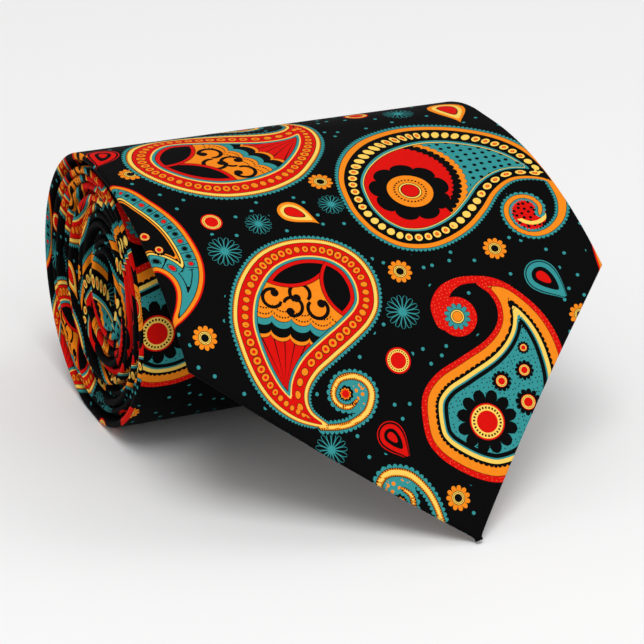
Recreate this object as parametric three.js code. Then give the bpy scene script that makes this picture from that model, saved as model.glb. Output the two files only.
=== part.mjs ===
// A rolled-up necktie: the blade comes off the top of the roll, arcs forward and rests its point on the floor.
// Millimetres, +Z up. The roll's axis runs along X, the blade falls towards -Y, and the origin is on the floor
// under the roll's axis.
import * as THREE from 'three';

// ---- Sizes of the tie laid flat -------------------------------------------------------------------------
const tieLength = 1397;
const bladeWidth = 102;
const neckWidth = 40;
const tailWidth = 46;
const taper = 0.048; // loss of half width for each millimetre up the blade
const neckEnd = 1010;
const bladeSeam = 620; // where the blade's shell is pieced to the neck's
const tailSeam = 985; // where the neck's shell is pieced to the tail's
const seamGap = 0.3;

// ---- Thickness of the layers, outer face inwards --------------------------------------------------------
const shellThickness = 0.3;
const interliningThickness = 0.5;
const tippingThickness = 0.15;
const layerGap = 0.1;

const interliningTop = shellThickness + layerGap;
const tippingTop = interliningTop + interliningThickness + layerGap;
const flapTop = tippingTop + tippingThickness + layerGap;
const tieThickness = flapTop + shellThickness;

// ---- Folded edges, tipping and centre seam --------------------------------------------------------------
const hemWidth = 12; // turned-in edge at the points
const seamLipGap = 0.8; // the slit between the two folded edges
const hemOpenEnd = 30; // the hems part from here...
const bladeSeamStart = 135; // ...and meet again here, measured from the blade's point
const tailSeamStart = 95; // the same, measured from the tail's point
const tippingReach = 150;
const tailTippingReach = 80;
const edgeGap = 0.4; // between an inner layer and the fold around it
const threadWidth = 0.4;

// ---- The roll -------------------------------------------------------------------------------------------
const facets = 21; // odd, so that one facet lies flat underneath
const coreRadius = 5.2;
const turnGap = 0.4; // air between two tight turns
const keeperRoom = 1.3; // extra air under the first turn, where the keeper loop sits
const coilGap = 2.1; // extra air between the outer turns and the inner coil
const outerTurns = 3;
const rollEnd = -44; // X of the roll's flush end
const coilRecess = 4; // how far the core sits back from that end

// ---- The free blade -------------------------------------------------------------------------------------
const topRun = 7; // level run off the top of the roll, before the arc
const arcRadius = 68;
const arcSlope = THREE.MathUtils.degToRad(53.7);
const arcSteps = 10;
const tipClearance = 0.5;
const tipSkew = 0.15; // turn of the point out of square with the roll, in radians
const skewReach = 120; // the turn dies out this far up the blade
const hingeGap = 0.3;

// ---- Small parts on the back ----------------------------------------------------------------------------
const labelRise = 8; // from the start of the centre seam up to the label
const labelLength = 22;
const labelWidth = 56;
const labelThickness = 0.2;
const keeperRise = 14; // from the label up to the keeper loop
const keeperLength = 12;
const keeperWidth = 60;
const keeperThickness = 0.4;
const keeperFoot = 4;
const keeperStandOff = 0.35;
const careTagLength = 16;
const careTagWidth = 14;
const stitchWidth = 0.5;
const tackLength = 7;
const tackHeight = 0.2;
const minimumHalfWidth = 0.9; // the blunt end of a folded point
const nearCut = 1; // a change of width this close to a corner of the path is left to that corner
const nearEnd = 0.05;
const capBow = 0.0001;

// ---- Outline of the flat tie ----------------------------------------------------------------------------
const tipDepth = bladeWidth / 2;
const tailTipDepth = tailWidth / 2;
const neckStart = tipDepth + (bladeWidth - neckWidth) / 2 / taper;
const lerp = THREE.MathUtils.lerp;

// Half width of the tie at v millimetres from the blade's point, as if it had no points.
function bodyHalfWidth(v) {
  const blade = bladeWidth / 2 - taper * Math.max(0, v - tipDepth);
  const share = THREE.MathUtils.clamp((v - neckEnd) / (tieLength - tailTipDepth - neckEnd), 0, 1);
  const tail = lerp(neckWidth, tailWidth, share) / 2;
  return v < neckStart ? blade : tail;
}

function halfWidth(v) {
  return Math.max(minimumHalfWidth, Math.min(bodyHalfWidth(v), v, tieLength - v));
}

// Half the opening between the two folded edges on the back.
function lipHalfGap(v) {
  const fromBlade = v < tieLength / 2;
  const along = fromBlade ? v : tieLength - v;
  const seamStart = fromBlade ? bladeSeamStart : tailSeamStart;
  const closing = THREE.MathUtils.clamp((seamStart - along) / (seamStart - hemOpenEnd), 0, 1);
  const open = (halfWidth(v) - hemWidth) * closing;
  return Math.max(Math.min(seamLipGap, halfWidth(v) - shellThickness) / 2, open);
}

// ---- The path of the outer face, seen along X -----------------------------------------------------------
const pitch = tieThickness + turnGap;
const step = (2 * Math.PI) / facets;
const restPart = (facets + 1) / 2 / facets; // share of a turn after which its radius starts to drop

function turnDrop(turn) {
  return pitch + (turn === 0 ? keeperRoom : 0) + (turn === outerTurns ? coilGap : 0);
}

// Radius of each corner of the spiral, from the top of the roll inwards. It stops at the core.
function spiralRadii(outerRadius) {
  const radii = [];
  let turnRadius = outerRadius;
  for (let turn = 0; turnRadius > coreRadius; turn += 1) {
    for (let i = 0; i < facets; i += 1) {
      const drop = turnDrop(turn) * Math.max(0, (i / facets - restPart) / (1 - restPart));
      if (turnRadius - drop > coreRadius) radii.push(turnRadius - drop);
    }
    turnRadius -= turnDrop(turn);
  }
  return radii;
}

function rolledLength(outerRadius) {
  return spiralRadii(outerRadius).reduce((sum, radius) => sum + (radius - tieThickness / 2) * step, 0);
}

function straightLength(outerRadius) {
  const top = outerRadius * (1 + Math.cos(step / 2));
  return (top - arcRadius * (1 - Math.cos(arcSlope)) - tipClearance) / Math.sin(arcSlope) - tieThickness / 2;
}

function freeBladeLength(outerRadius) {
  return straightLength(outerRadius) + arcRadius * arcSlope + topRun;
}

// The roll's radius is the one at which roll and free blade together take up the tie's length.
function findRollRadius() {
  let low = coreRadius;
  let high = tieLength / 4;
  while (high - low > 0.001) {
    const middle = (low + high) / 2;
    const length = rolledLength(middle) + freeBladeLength(middle);
    if (length < tieLength) low = middle;
    else high = middle;
  }
  return high;
}

const rollRadius = findRollRadius();
const axisHeight = rollRadius * Math.cos(step / 2);
const rollTop = axisHeight + rollRadius;
const straight = straightLength(rollRadius);
const freeLength = freeBladeLength(rollRadius);

// Corners of the path: distance from the blade's point, outer face (y, z) and the direction out of that face.
function pathStations() {
  const stations = [];
  const bendEnd = {
    y: -topRun - arcRadius * Math.sin(arcSlope),
    z: rollTop - arcRadius * (1 - Math.cos(arcSlope)),
  };
  const out = { y: -Math.sin(arcSlope), z: Math.cos(arcSlope) };
  const reach = straight + tipDepth; // carried on past the point, for the corner that the skew puts lower
  stations.push({
    v: straight - reach,
    y: bendEnd.y - reach * Math.cos(arcSlope),
    z: bendEnd.z - reach * Math.sin(arcSlope),
    ny: out.y,
    nz: out.z,
  });
  for (let i = 0; i <= arcSteps; i += 1) {
    const slope = arcSlope * (1 - i / arcSteps);
    stations.push({
      v: straight + (arcRadius * arcSlope * i) / arcSteps,
      y: -topRun - arcRadius * Math.sin(slope),
      z: rollTop - arcRadius * (1 - Math.cos(slope)),
      ny: -Math.sin(slope),
      nz: Math.cos(slope),
    });
  }
  stations.push({ v: freeLength, y: 0, z: rollTop, ny: 0, nz: 1 });
  let v = freeLength;
  spiralRadii(rollRadius).forEach((radius, i) => {
    const angle = step * i;
    if (i > 0) {
      stations.push({
        v,
        y: radius * Math.sin(angle),
        z: axisHeight + radius * Math.cos(angle),
        ny: Math.sin(angle),
        nz: Math.cos(angle),
      });
    }
    v += (radius - tieThickness / 2) * step;
  });
  return stations;
}

const stations = pathStations();

function skewAt(v) {
  return tipSkew * Math.max(0, 1 - v / skewReach);
}

// X of the tie's centre line: flush with the roll's end on the roll, drifting sideways on the free blade.
function centreX(v) {
  const rolled = Math.max(v, freeLength);
  const recess = (coilRecess * (rolled - freeLength)) / (tieLength - freeLength);
  const left = Math.max(0, skewReach - Math.max(0, v));
  return rollEnd + bodyHalfWidth(rolled) + recess + (tipSkew * left * left) / (2 * skewReach);
}

// A point of the tie: v up from the blade's point, u across, depth inwards from the outer face.
function place(v, u, depth) {
  const along = v + u * Math.sin(skewAt(v));
  let i = stations.findIndex((station) => station.v > along);
  if (i < 1) i = i === 0 ? 1 : stations.length - 1;
  const a = stations[i - 1];
  const b = stations[i];
  const share = (along - a.v) / (b.v - a.v);
  const y = lerp(a.y - a.ny * depth, b.y - b.ny * depth, share);
  const z = lerp(a.z - a.nz * depth, b.z - b.nz * depth, share);
  return [centreX(v) + u * Math.cos(skewAt(v)), y, z];
}

// ---- Solids that follow the path ------------------------------------------------------------------------
const widthChanges = [
  0, minimumHalfWidth, hemWidth, hemOpenEnd, tipDepth, bladeSeamStart, neckStart, neckEnd,
  tieLength - tailSeamStart, tieLength - hemOpenEnd, tieLength - tailTipDepth, tieLength - hemWidth,
  tieLength - minimumHalfWidth, tieLength,
];

// Every corner of the path is kept, so that all layers bend at the same places and stay parallel.
function cuts(start, end) {
  const corners = stations.map((station) => station.v);
  const extra = widthChanges.filter((v) => corners.every((corner) => Math.abs(v - corner) > nearCut));
  const inside = (v) => v > start + nearEnd && v < end - nearEnd;
  const kept = [...corners, ...extra].filter(inside).sort((a, b) => a - b);
  return [start, ...kept, end];
}

// Sweeps a closed outline of [u, depth] points from start to end. outlineAt(v) keeps its number of points.
function sweep(start, end, outlineAt) {
  const rows = cuts(start, end).map((v) => outlineAt(v).map(([u, depth]) => place(v, u, depth)));
  const points = rows[0].length;
  // The cap is cut up on a slightly bowed copy of the outline, so that points in line all keep their triangles.
  const bowed = outlineAt((start + end) / 2).map(([u, depth]) => new THREE.Vector2(u, depth - capBow * u * u));
  const cap = THREE.ShapeUtils.triangulateShape(bowed, []);
  const index = [];
  for (let row = 0; row + 1 < rows.length; row += 1) {
    for (let i = 0; i < points; i += 1) {
      const next = (i + 1) % points;
      const a = row * points + i;
      const b = row * points + next;
      index.push(a, a + points, b, b, a + points, b + points);
    }
  }
  const last = (rows.length - 1) * points;
  for (const [a, b, c] of cap) {
    index.push(a, c, b);
    index.push(last + a, last + b, last + c);
  }
  const geometry = new THREE.BufferGeometry();
  geometry.setAttribute('position', new THREE.Float32BufferAttribute(rows.flat(2), 3));
  geometry.setIndex(index);
  geometry.computeVertexNormals();
  return geometry;
}

// Across the skewed free blade, every layer has edges along both lips, so that the layers stay parallel there.
function across(v, half, lined) {
  const lip = lipHalfGap(v);
  return lined ? [-half, -lip, lip, half] : [-half, half];
}

function strip(start, end, halfWidthAt, top, thickness) {
  const lined = end < freeLength;
  return sweep(start, end, (v) => {
    const lines = across(v, halfWidthAt(v), lined);
    const under = lines.map((u) => [u, top + thickness]);
    const over = lines.map((u) => [u, top]).reverse();
    return [...under, ...over];
  });
}

// The shell: a front, two folded edges and two back flaps that meet at the centre seam.
function foldedShell(start, end) {
  const lined = end < freeLength;
  return sweep(start, end, (v) => {
    const half = halfWidth(v);
    const inner = half - shellThickness;
    const lip = lipHalfGap(v);
    const left = [[-half, tieThickness], [-lip, tieThickness], [-lip, flapTop], [-inner, flapTop]];
    const right = [[inner, flapTop], [lip, flapTop], [lip, tieThickness], [half, tieThickness]];
    const inside = across(v, inner, lined).map((u) => [u, shellThickness]);
    const outside = across(v, half, lined).map((u) => [u, 0]).reverse();
    return [...left, ...inside, ...right, ...outside];
  });
}

function innerHalfWidth(v) {
  return halfWidth(v) - shellThickness - edgeGap;
}

// ---- The parts ------------------------------------------------------------------------------------------
const cloth = { color: 0x111011, roughness: 0.62, metalness: 0 };
const wool = { color: 0xd8d2c4, roughness: 0.95, metalness: 0 };
const satin = { color: 0x151416, roughness: 0.38, metalness: 0 };
const thread = { color: 0x1b1a1c, roughness: 0.7, metalness: 0 };
const ribbon = { color: 0x2a2a2c, roughness: 0.55, metalness: 0 };

const necktie = new THREE.Group();

function addPart(name, geometry, look) {
  const mesh = new THREE.Mesh(geometry, new THREE.MeshStandardMaterial(look));
  mesh.name = name;
  necktie.add(mesh);
}

const rollStart = freeLength;
const bladeEnd = freeLength - hingeGap;
const liningInset = 2.5; // the inner layers stop this far short of a point

// Shell, pieced from three lengths of cloth; the blade is parted where it leaves the roll.
addPart('blade_tip_shell', foldedShell(0, bladeEnd), cloth);
addPart('blade_shell', foldedShell(rollStart, bladeSeam), cloth);
addPart('neck_shell', foldedShell(bladeSeam + seamGap, tailSeam), cloth);
addPart('tail_shell', foldedShell(tailSeam + seamGap, tieLength), cloth);

// Interlining, the woven wool core that gives the tie its body.
const liningEnd = tieLength - liningInset;

function interliningStrip(start, end) {
  return strip(start, end, innerHalfWidth, interliningTop, interliningThickness);
}
addPart('blade_tip_interlining', interliningStrip(liningInset, bladeEnd), wool);
addPart('interlining', interliningStrip(rollStart, liningEnd), wool);

// Tipping, the lining that closes the back of each point.
const tailTippingStart = tieLength - tailTippingReach;

function tippingStrip(start, end) {
  return strip(start, end, innerHalfWidth, tippingTop, tippingThickness);
}
addPart('blade_tip_tipping', tippingStrip(liningInset, bladeEnd), satin);
addPart('blade_tipping', tippingStrip(rollStart, tippingReach), satin);
addPart('tail_tipping', tippingStrip(tailTippingStart, liningEnd), satin);

// Slip stitch down the centre seam, lying between the two folded edges.
const tackReach = tackLength / 2 + layerGap;
const stitchStart = bladeSeamStart + tackReach;
const stitchEnd = tieLength - tailSeamStart - tackReach;
const slipStitch = strip(stitchStart, stitchEnd, () => threadWidth / 2, flapTop, shellThickness);
addPart('slip_stitch_thread', slipStitch, thread);

// Bar tacks that close each end of the seam: a plate on the flaps with a tongue down into the slit.
function barTack(centre) {
  return sweep(centre - stitchWidth, centre + stitchWidth, () => {
    const half = tackLength / 2;
    const face = tieThickness + layerGap;
    const tongue = threadWidth / 2;
    return [
      [-half, face], [-half, face + tackHeight], [half, face + tackHeight], [half, face],
      [tongue, face], [tongue, flapTop], [-tongue, flapTop], [-tongue, face],
    ];
  });
}
addPart('blade_bar_tack', barTack(bladeSeamStart + stitchWidth), thread);
addPart('tail_bar_tack', barTack(tieLength - tailSeamStart - stitchWidth), thread);

// Blank woven label, keeper loop and care tag on the back of the blade.
const backFace = tieThickness + layerGap;
const labelStart = bladeSeamStart + labelRise;
const labelEnd = labelStart + labelLength;
const keeperStart = labelEnd + keeperRise;
const keeperEnd = keeperStart + keeperLength;
addPart('woven_label', strip(labelStart, labelEnd, () => labelWidth / 2, backFace, labelThickness), ribbon);
addPart('keeper_loop', sweep(keeperStart, keeperEnd, () => {
  const half = keeperWidth / 2;
  const foot = half - keeperFoot;
  const under = backFace + keeperStandOff;
  const top = under + keeperThickness;
  return [
    [-half, backFace], [-half, top], [half, top], [half, backFace],
    [foot, backFace], [foot, under], [-foot, under], [-foot, backFace],
  ];
}), cloth);
const careTagStart = keeperEnd + seamGap;
const careTagEnd = careTagStart + careTagLength;
addPart('care_tag', strip(careTagStart, careTagEnd, () => careTagWidth / 2, backFace, labelThickness), ribbon);

export default necktie;
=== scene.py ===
# A printed necktie, rolled up on its side: the blade falls off the roll and rests its point on the floor.
import math

import bpy
import numpy as np
from mathutils import Matrix, Vector


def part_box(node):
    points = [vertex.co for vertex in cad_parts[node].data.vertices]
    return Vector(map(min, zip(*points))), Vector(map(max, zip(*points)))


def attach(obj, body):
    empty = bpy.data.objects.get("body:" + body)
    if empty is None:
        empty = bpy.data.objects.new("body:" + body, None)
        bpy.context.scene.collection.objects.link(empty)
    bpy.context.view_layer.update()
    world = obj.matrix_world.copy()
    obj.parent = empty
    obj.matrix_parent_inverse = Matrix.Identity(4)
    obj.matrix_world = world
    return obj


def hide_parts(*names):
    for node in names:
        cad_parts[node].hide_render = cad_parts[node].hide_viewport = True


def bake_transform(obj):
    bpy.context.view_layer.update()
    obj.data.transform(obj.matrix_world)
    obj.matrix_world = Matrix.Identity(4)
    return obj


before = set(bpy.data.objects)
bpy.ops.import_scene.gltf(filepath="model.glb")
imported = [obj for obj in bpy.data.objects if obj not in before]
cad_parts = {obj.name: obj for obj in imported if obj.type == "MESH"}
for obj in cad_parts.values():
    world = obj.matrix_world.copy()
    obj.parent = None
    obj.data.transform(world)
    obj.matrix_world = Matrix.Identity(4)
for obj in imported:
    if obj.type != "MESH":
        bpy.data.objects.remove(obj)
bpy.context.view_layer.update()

MM = 0.001

# ---- Sizes of the flat tie, in millimetres --------------------------------------------------------------
TIE_LENGTH = 1397.0
BLADE_WIDTH = 102.0
NECK_WIDTH = 40.0
TAIL_WIDTH = 46.0
TAPER = 0.048
NECK_END = 1010.0
BLADE_SEAM = 620.0
TAIL_SEAM = 985.0
TIP_DEPTH = BLADE_WIDTH / 2
TAIL_TIP_DEPTH = TAIL_WIDTH / 2
NECK_START = TIP_DEPTH + (BLADE_WIDTH - NECK_WIDTH) / 2 / TAPER

# ---- Layers, hems and seam ------------------------------------------------------------------------------
THICKNESS = 1.5
SHELL = 0.32
INTERLINING_TOP, INTERLINING = 0.42, 0.46
TIPPING_TOP, TIPPING = 0.98, 0.14
HEM = 12.0
LIP_GAP = 0.5
HEM_OPEN_END = 30.0
BLADE_SEAM_START = 135.0
TAIL_SEAM_START = 95.0
BLADE_TIPPING_REACH = 150.0
TAIL_TIPPING_REACH = 80.0
BLUNT = 0.9

# ---- The roll and the free blade ------------------------------------------------------------------------
FACETS = 21
TURN_GAP = 0.4
KEEPER_ROOM = 1.3
COIL_GAP = 2.1
OUTER_TURNS = 3
COIL_RECESS = 4.0
COIL_OVAL = 0.08
COIL_DENT = 0.015
EDGE_WANDER = 0.8
TOP_RUN = 7.0
ARC_RADIUS = 68.0
ARC_SLOPE = math.radians(53.7)
TIP_CLEARANCE = 0.5
TIP_SKEW = 0.15
SKEW_REACH = 120.0
ROLL_STEPS = 7 * FACETS  # path points in each turn of the roll
ARC_STEPS = 60

rolled_low, rolled_high = (np.array(corner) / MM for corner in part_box("blade_shell"))
ROLL_TOP = rolled_high[2]
ROLL_RADIUS = ROLL_TOP / (1 + math.cos(math.pi / FACETS))
AXIS_HEIGHT = ROLL_TOP - ROLL_RADIUS
ROLL_END = rolled_low[0]
SPAN_OF_STRAIGHT = (ROLL_TOP - ARC_RADIUS * (1 - math.cos(ARC_SLOPE)) - TIP_CLEARANCE) / math.sin(ARC_SLOPE)
STRAIGHT = SPAN_OF_STRAIGHT - THICKNESS / 2
FREE_LENGTH = STRAIGHT + ARC_RADIUS * ARC_SLOPE + TOP_RUN


# ---- Shape of the tie -----------------------------------------------------------------------------------
def body_half_width(v):
    """Half the folded width at a length v from the blade's point, without the points of the two ends."""
    blade = BLADE_WIDTH / 2 - TAPER * np.maximum(0, v - TIP_DEPTH)
    share = np.clip((v - NECK_END) / (TIE_LENGTH - TAIL_TIP_DEPTH - NECK_END), 0, 1)
    tail = (NECK_WIDTH + (TAIL_WIDTH - NECK_WIDTH) * share) / 2
    return np.where(v < NECK_START, blade, tail)


def half_width(v):
    """Half the folded width, cut to the square points and a little blunt at their tips."""
    return np.maximum(BLUNT, np.minimum(np.minimum(body_half_width(v), v), TIE_LENGTH - v))


def lip_half_gap(v):
    """Half the opening between the two folded edges on the back."""
    blade_side = v < TIE_LENGTH / 2
    along = np.where(blade_side, v, TIE_LENGTH - v)
    seam = np.where(blade_side, BLADE_SEAM_START, TAIL_SEAM_START)
    closing = np.clip((seam - along) / (seam - HEM_OPEN_END), 0, 1)
    return np.maximum(LIP_GAP / 2, (half_width(v) - HEM) * closing)


def turn_drop(turn):
    """How much smaller the next turn of the roll is."""
    extra = KEEPER_ROOM * (turn == 0) + COIL_GAP * (turn == OUTER_TURNS)
    return THICKNESS + TURN_GAP + extra


def build_path():
    """Outer face of the tie seen along X: rows of along, y, z, and the direction out of the face."""
    end_y = -TOP_RUN - ARC_RADIUS * math.sin(ARC_SLOPE)
    end_z = ROLL_TOP - ARC_RADIUS * (1 - math.cos(ARC_SLOPE))
    reach = STRAIGHT + TIP_DEPTH
    rows = [(STRAIGHT - reach, end_y - reach * math.cos(ARC_SLOPE), end_z - reach * math.sin(ARC_SLOPE))]
    for i in range(ARC_STEPS + 1):
        slope = ARC_SLOPE * (1 - i / ARC_STEPS)
        y = -TOP_RUN - ARC_RADIUS * math.sin(slope)
        z = ROLL_TOP - ARC_RADIUS * (1 - math.cos(slope))
        rows.append((STRAIGHT + ARC_RADIUS * (ARC_SLOPE - slope), y, z))
    along = FREE_LENGTH
    turn_radius = ROLL_RADIUS
    rest_part = (FACETS + 1) / 2 / FACETS
    turn = 0
    while along < TIE_LENGTH + 2:
        for i in range(ROLL_STEPS):
            ease = max(0.0, (i / ROLL_STEPS - rest_part) / (1 - rest_part))
            radius = turn_radius - turn_drop(turn) * ease
            angle = 2 * math.pi * i / ROLL_STEPS
            coiled = np.clip((turn + i / ROLL_STEPS - OUTER_TURNS - 0.4) / 0.6, 0, 1)
            radius *= 1 + coiled * (COIL_OVAL * math.cos(2 * angle) + COIL_DENT * math.cos(3 * angle + 0.7))
            z = AXIS_HEIGHT + radius * math.cos(angle)
            rows.append((along, radius * math.sin(angle), max(z, 0.02)))
            along += (radius - THICKNESS / 2) * 2 * math.pi / ROLL_STEPS
        turn_radius -= turn_drop(turn)
        turn += 1
    along, y, z = np.array(rows).T
    run_y, run_z = np.gradient(y), np.gradient(z)
    length = np.hypot(run_y, run_z)
    return np.stack([along, y, z, -run_z / length, run_y / length])


PATH = build_path()


def skew_at(v):
    """How far the blade's point is turned from the roll, in radians; none where it leaves the roll."""
    return TIP_SKEW * np.maximum(0, 1 - v / SKEW_REACH)


def centre_x(v):
    """Where the tie's middle line is along the roll's axis: one edge is nearly flush, but wanders."""
    rolled = np.maximum(v, FREE_LENGTH)
    recess = COIL_RECESS * (rolled - FREE_LENGTH) / (TIE_LENGTH - FREE_LENGTH)
    left = np.maximum(0, SKEW_REACH - np.maximum(0, v))
    wander = EDGE_WANDER * np.sin((rolled - FREE_LENGTH) / 41) * np.clip((rolled - 300) / 200, 0, 1)
    return ROLL_END + body_half_width(rolled) + recess + wander + TIP_SKEW * left ** 2 / (2 * SKEW_REACH)


def place(v, u, depth):
    """From the flat tie (v up from the blade's point, u across, depth inwards) to the rolled tie."""
    along = v + u * np.sin(skew_at(v))
    y, z, out_y, out_z = (np.interp(along, PATH[0], row) for row in PATH[1:])
    x = centre_x(v) + u * np.cos(skew_at(v))
    return np.stack([x, y - out_y * depth, z - out_z * depth], axis=-1)


# ---- Meshes that follow the path ------------------------------------------------------------------------
def make_object(name, points, faces):
    mesh = bpy.data.meshes.new(name)
    mesh.from_pydata((points.reshape(-1, 3) * MM).tolist(), [], faces)
    mesh.update()
    mesh.shade_smooth()
    piece = bpy.data.objects.new(name, mesh)
    bpy.context.scene.collection.objects.link(piece)
    return piece


def tube_faces(rows, points):
    """Quads round a closed outline swept through rows, and then one face over each end."""
    row, point = np.meshgrid(np.arange(rows - 1), np.arange(points), indexing="ij")
    a = row * points + point
    b = row * points + (point + 1) % points
    sides = np.stack([a, b, b + points, a + points], axis=-1).reshape(-1, 4).tolist()
    return sides + [list(range(points))[::-1], list(range((rows - 1) * points, rows * points))]


def spread(low, high, step):
    """Evenly spaced lengths from low to high, about a step apart."""
    return np.linspace(low, high, max(2, int(round((high - low) / step)) + 1))


def fold_section(half, lip, inset, front, back):
    """One face of the folded shell, from lip round to lip: u, depth and the place on the flat cloth."""
    radius = THICKNESS / 2 - inset
    turn = (half - THICKNESS / 2)[:, None]
    lips = np.minimum(lip[:, None], turn - 0.1)
    t = 1 - (1 - np.linspace(0, 1, back)) ** 2
    u_back = lips + (turn - lips) * t
    angle = np.linspace(0, math.pi, FOLD_POINTS + 2)[1:-1]
    u_fold = turn + radius * np.sin(angle)
    depth_fold = THICKNESS / 2 + radius * np.cos(angle)
    u_front = turn * np.linspace(-1, 1, front)
    cloth_back = turn + math.pi * THICKNESS / 2 + turn - u_back
    cloth_fold = turn + THICKNESS / 2 * (math.pi - angle)
    rows = np.ones_like(turn)
    deep = rows * (THICKNESS / 2 + radius) * np.ones(back)
    shallow = rows * (THICKNESS / 2 - radius) * np.ones(front)
    u = np.hstack([-u_back, -u_fold, u_front, u_fold[:, ::-1], u_back[:, ::-1]])
    depth = np.hstack([deep, rows * depth_fold, shallow, rows * depth_fold[::-1], deep])
    cloth = np.hstack([-cloth_back, -cloth_fold, u_front, cloth_fold[:, ::-1], cloth_back[:, ::-1]])
    return u, depth, cloth


def folded_shell(name, v, front, back):
    """The printed cloth, folded round the interlining: one closed mesh, its flat place in a UV map."""
    half = half_width(v)
    lip = lip_half_gap(v)
    u_out, depth_out, cloth_out = fold_section(half, lip, 0.0, front, back)
    u_in, depth_in, cloth_in = fold_section(half, lip, SHELL, max(6, front // 5), max(4, back // 3))
    u = np.hstack([u_out, u_in[:, ::-1]])
    depth = np.hstack([depth_out, depth_in[:, ::-1]])
    cloth = np.hstack([cloth_out, cloth_in[:, ::-1]])
    rows, count = u.shape
    v_grid = np.repeat(v[:, None], count, axis=1)
    points = place(v_grid, u, depth)
    faces = tube_faces(rows, count)
    piece = make_object(name, points, faces)
    flat = np.stack([cloth, v_grid], axis=-1).reshape(-1, 2)
    lay_print(piece, points.reshape(-1, 3), flat, np.array(faces[:-2]), back, count)
    return piece


def strip(name, v, half, top, thickness, across=12):
    """A flat band of cloth inside the fold, with rounded edges."""
    radius = thickness / 2
    angle = np.linspace(0, math.pi, 5)[1:-1]
    lines = np.linspace(-1, 1, across)
    turn = (half - radius)[:, None]
    rows = np.ones_like(turn)
    u_line = turn * lines
    u_edge = turn + radius * np.sin(angle)
    over = rows * np.full(across, top)
    under = rows * np.full(across, top + thickness)
    edge = rows * (top + radius - radius * np.cos(angle))
    u = np.hstack([u_line, u_edge, u_line[:, ::-1], -u_edge[:, ::-1]])
    depth = np.hstack([over, edge, under, edge[:, ::-1]])
    v_grid = np.repeat(v[:, None], u.shape[1], axis=1)
    piece = make_object(name, place(v_grid, u, depth), tube_faces(*u.shape))
    flat = np.stack([u, v_grid], axis=-1).reshape(-1, 2) * MM
    corners = np.empty(len(piece.data.loops), dtype=np.int32)
    piece.data.loops.foreach_get("vertex_index", corners)
    placed = flat[corners].astype(np.float32)
    piece.data.uv_layers.new(name="flat_cloth").data.foreach_set("uv", placed.ravel())
    return piece


def dress(piece, nodes, body="roll"):
    """Hides the nodes that a piece stands for, and hangs the piece on the body that it rides."""
    if nodes:
        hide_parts(*nodes)
    if body:
        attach(piece, body)


def across_hinge(piece):
    """Bakes the piece's placement into its mesh."""
    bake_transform(piece)


# ---- Camera, floor and lights ---------------------------------------------------------------------------
def look_from(azimuth, elevation, roll, aim, distance, lens):
    forward = Vector((math.sin(azimuth) * math.cos(elevation), math.cos(azimuth) * math.cos(elevation),
                      -math.sin(elevation)))
    right = Vector((math.cos(azimuth), -math.sin(azimuth), 0.0))
    up = right.cross(forward)
    right, up = right * math.cos(roll) + up * math.sin(roll), up * math.cos(roll) - right * math.sin(roll)
    camera = bpy.data.objects.new("camera", bpy.data.cameras.new("camera"))
    bpy.context.scene.collection.objects.link(camera)
    turn = Matrix((right, up, -forward)).transposed().to_4x4()
    camera.matrix_world = Matrix.Translation(aim - forward * distance) @ turn
    camera.data.lens = lens
    camera.data.clip_start = 0.01
    camera.data.clip_end = 20
    bpy.context.scene.camera = camera


def add_area_light(name, place_at, power, size):
    """A square lamp of one side's size, turned to the tie."""
    data = bpy.data.lights.new(name, "AREA")
    data.energy = power
    data.shape = "RECTANGLE"
    data.size = data.size_y = size
    lamp = bpy.data.objects.new(name, data)
    bpy.context.scene.collection.objects.link(lamp)
    turn = (LIGHT_AIM - Vector(place_at)).to_track_quat("-Z", "Y")
    lamp.matrix_world = Matrix.Translation(place_at) @ turn.to_matrix().to_4x4()


def build_stage():
    mesh = bpy.data.meshes.new("studio_floor")
    corners = [(-FLOOR_REACH, -FLOOR_REACH, 0), (FLOOR_REACH, -FLOOR_REACH, 0), (FLOOR_REACH, FLOOR_REACH, 0),
               (-FLOOR_REACH, FLOOR_REACH, 0)]
    mesh.from_pydata(corners, [], [(0, 1, 2, 3)])
    floor = bpy.data.objects.new("studio_floor", mesh)
    bpy.context.scene.collection.objects.link(floor)
    paint = bpy.data.materials.new("pale_floor")
    paint.use_nodes = True
    shader = paint.node_tree.nodes["Principled BSDF"]
    shader.inputs["Base Color"].default_value = FLOOR_WHITE
    shader.inputs["Roughness"].default_value = 0.9
    shader.inputs["Specular IOR Level"].default_value = 0.1
    mesh.materials.append(paint)
    world = bpy.data.worlds.new("studio_air")
    world.use_nodes = True
    air = world.node_tree.nodes["Background"]
    air.inputs["Color"].default_value = (1, 1, 1, 1)
    air.inputs["Strength"].default_value = WORLD_STRENGTH
    bpy.context.scene.world = world
    for name, place_at, power, size in LIGHTS:
        add_area_light(name, place_at, power, size)


AZIMUTH, ELEVATION, CAMERA_ROLL = (math.radians(degrees) for degrees in (24.78, 25.31, 1.94))
CAMERA_AIM = Vector((0.0, -30.0, 29.83)) * MM
CAMERA_DISTANCE = 735.65 * MM
LENS = 183.745  # focal length in millimetres, on a sensor 36 mm wide
FLOOR_REACH = 6.0
FLOOR_WHITE = (0.86, 0.86, 0.86, 1)
WORLD_STRENGTH = 0.58
LIGHT_AIM = Vector((0, 0, 0.03))
# Each light: name, place in metres, watts and side.
LIGHTS = [
    ("key_light", (-0.3, -0.6, 1.5), 11.6, 0.7),
    ("front_light", (0.3, -1.2, 0.9), 2.8, 0.9),
    ("side_light", (0.95, -0.1, 1.3), 2.5, 0.7),
]
bpy.context.scene.view_settings.view_transform = "Standard"
look_from(AZIMUTH, ELEVATION, CAMERA_ROLL, CAMERA_AIM, CAMERA_DISTANCE, LENS)
build_stage()

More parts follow.
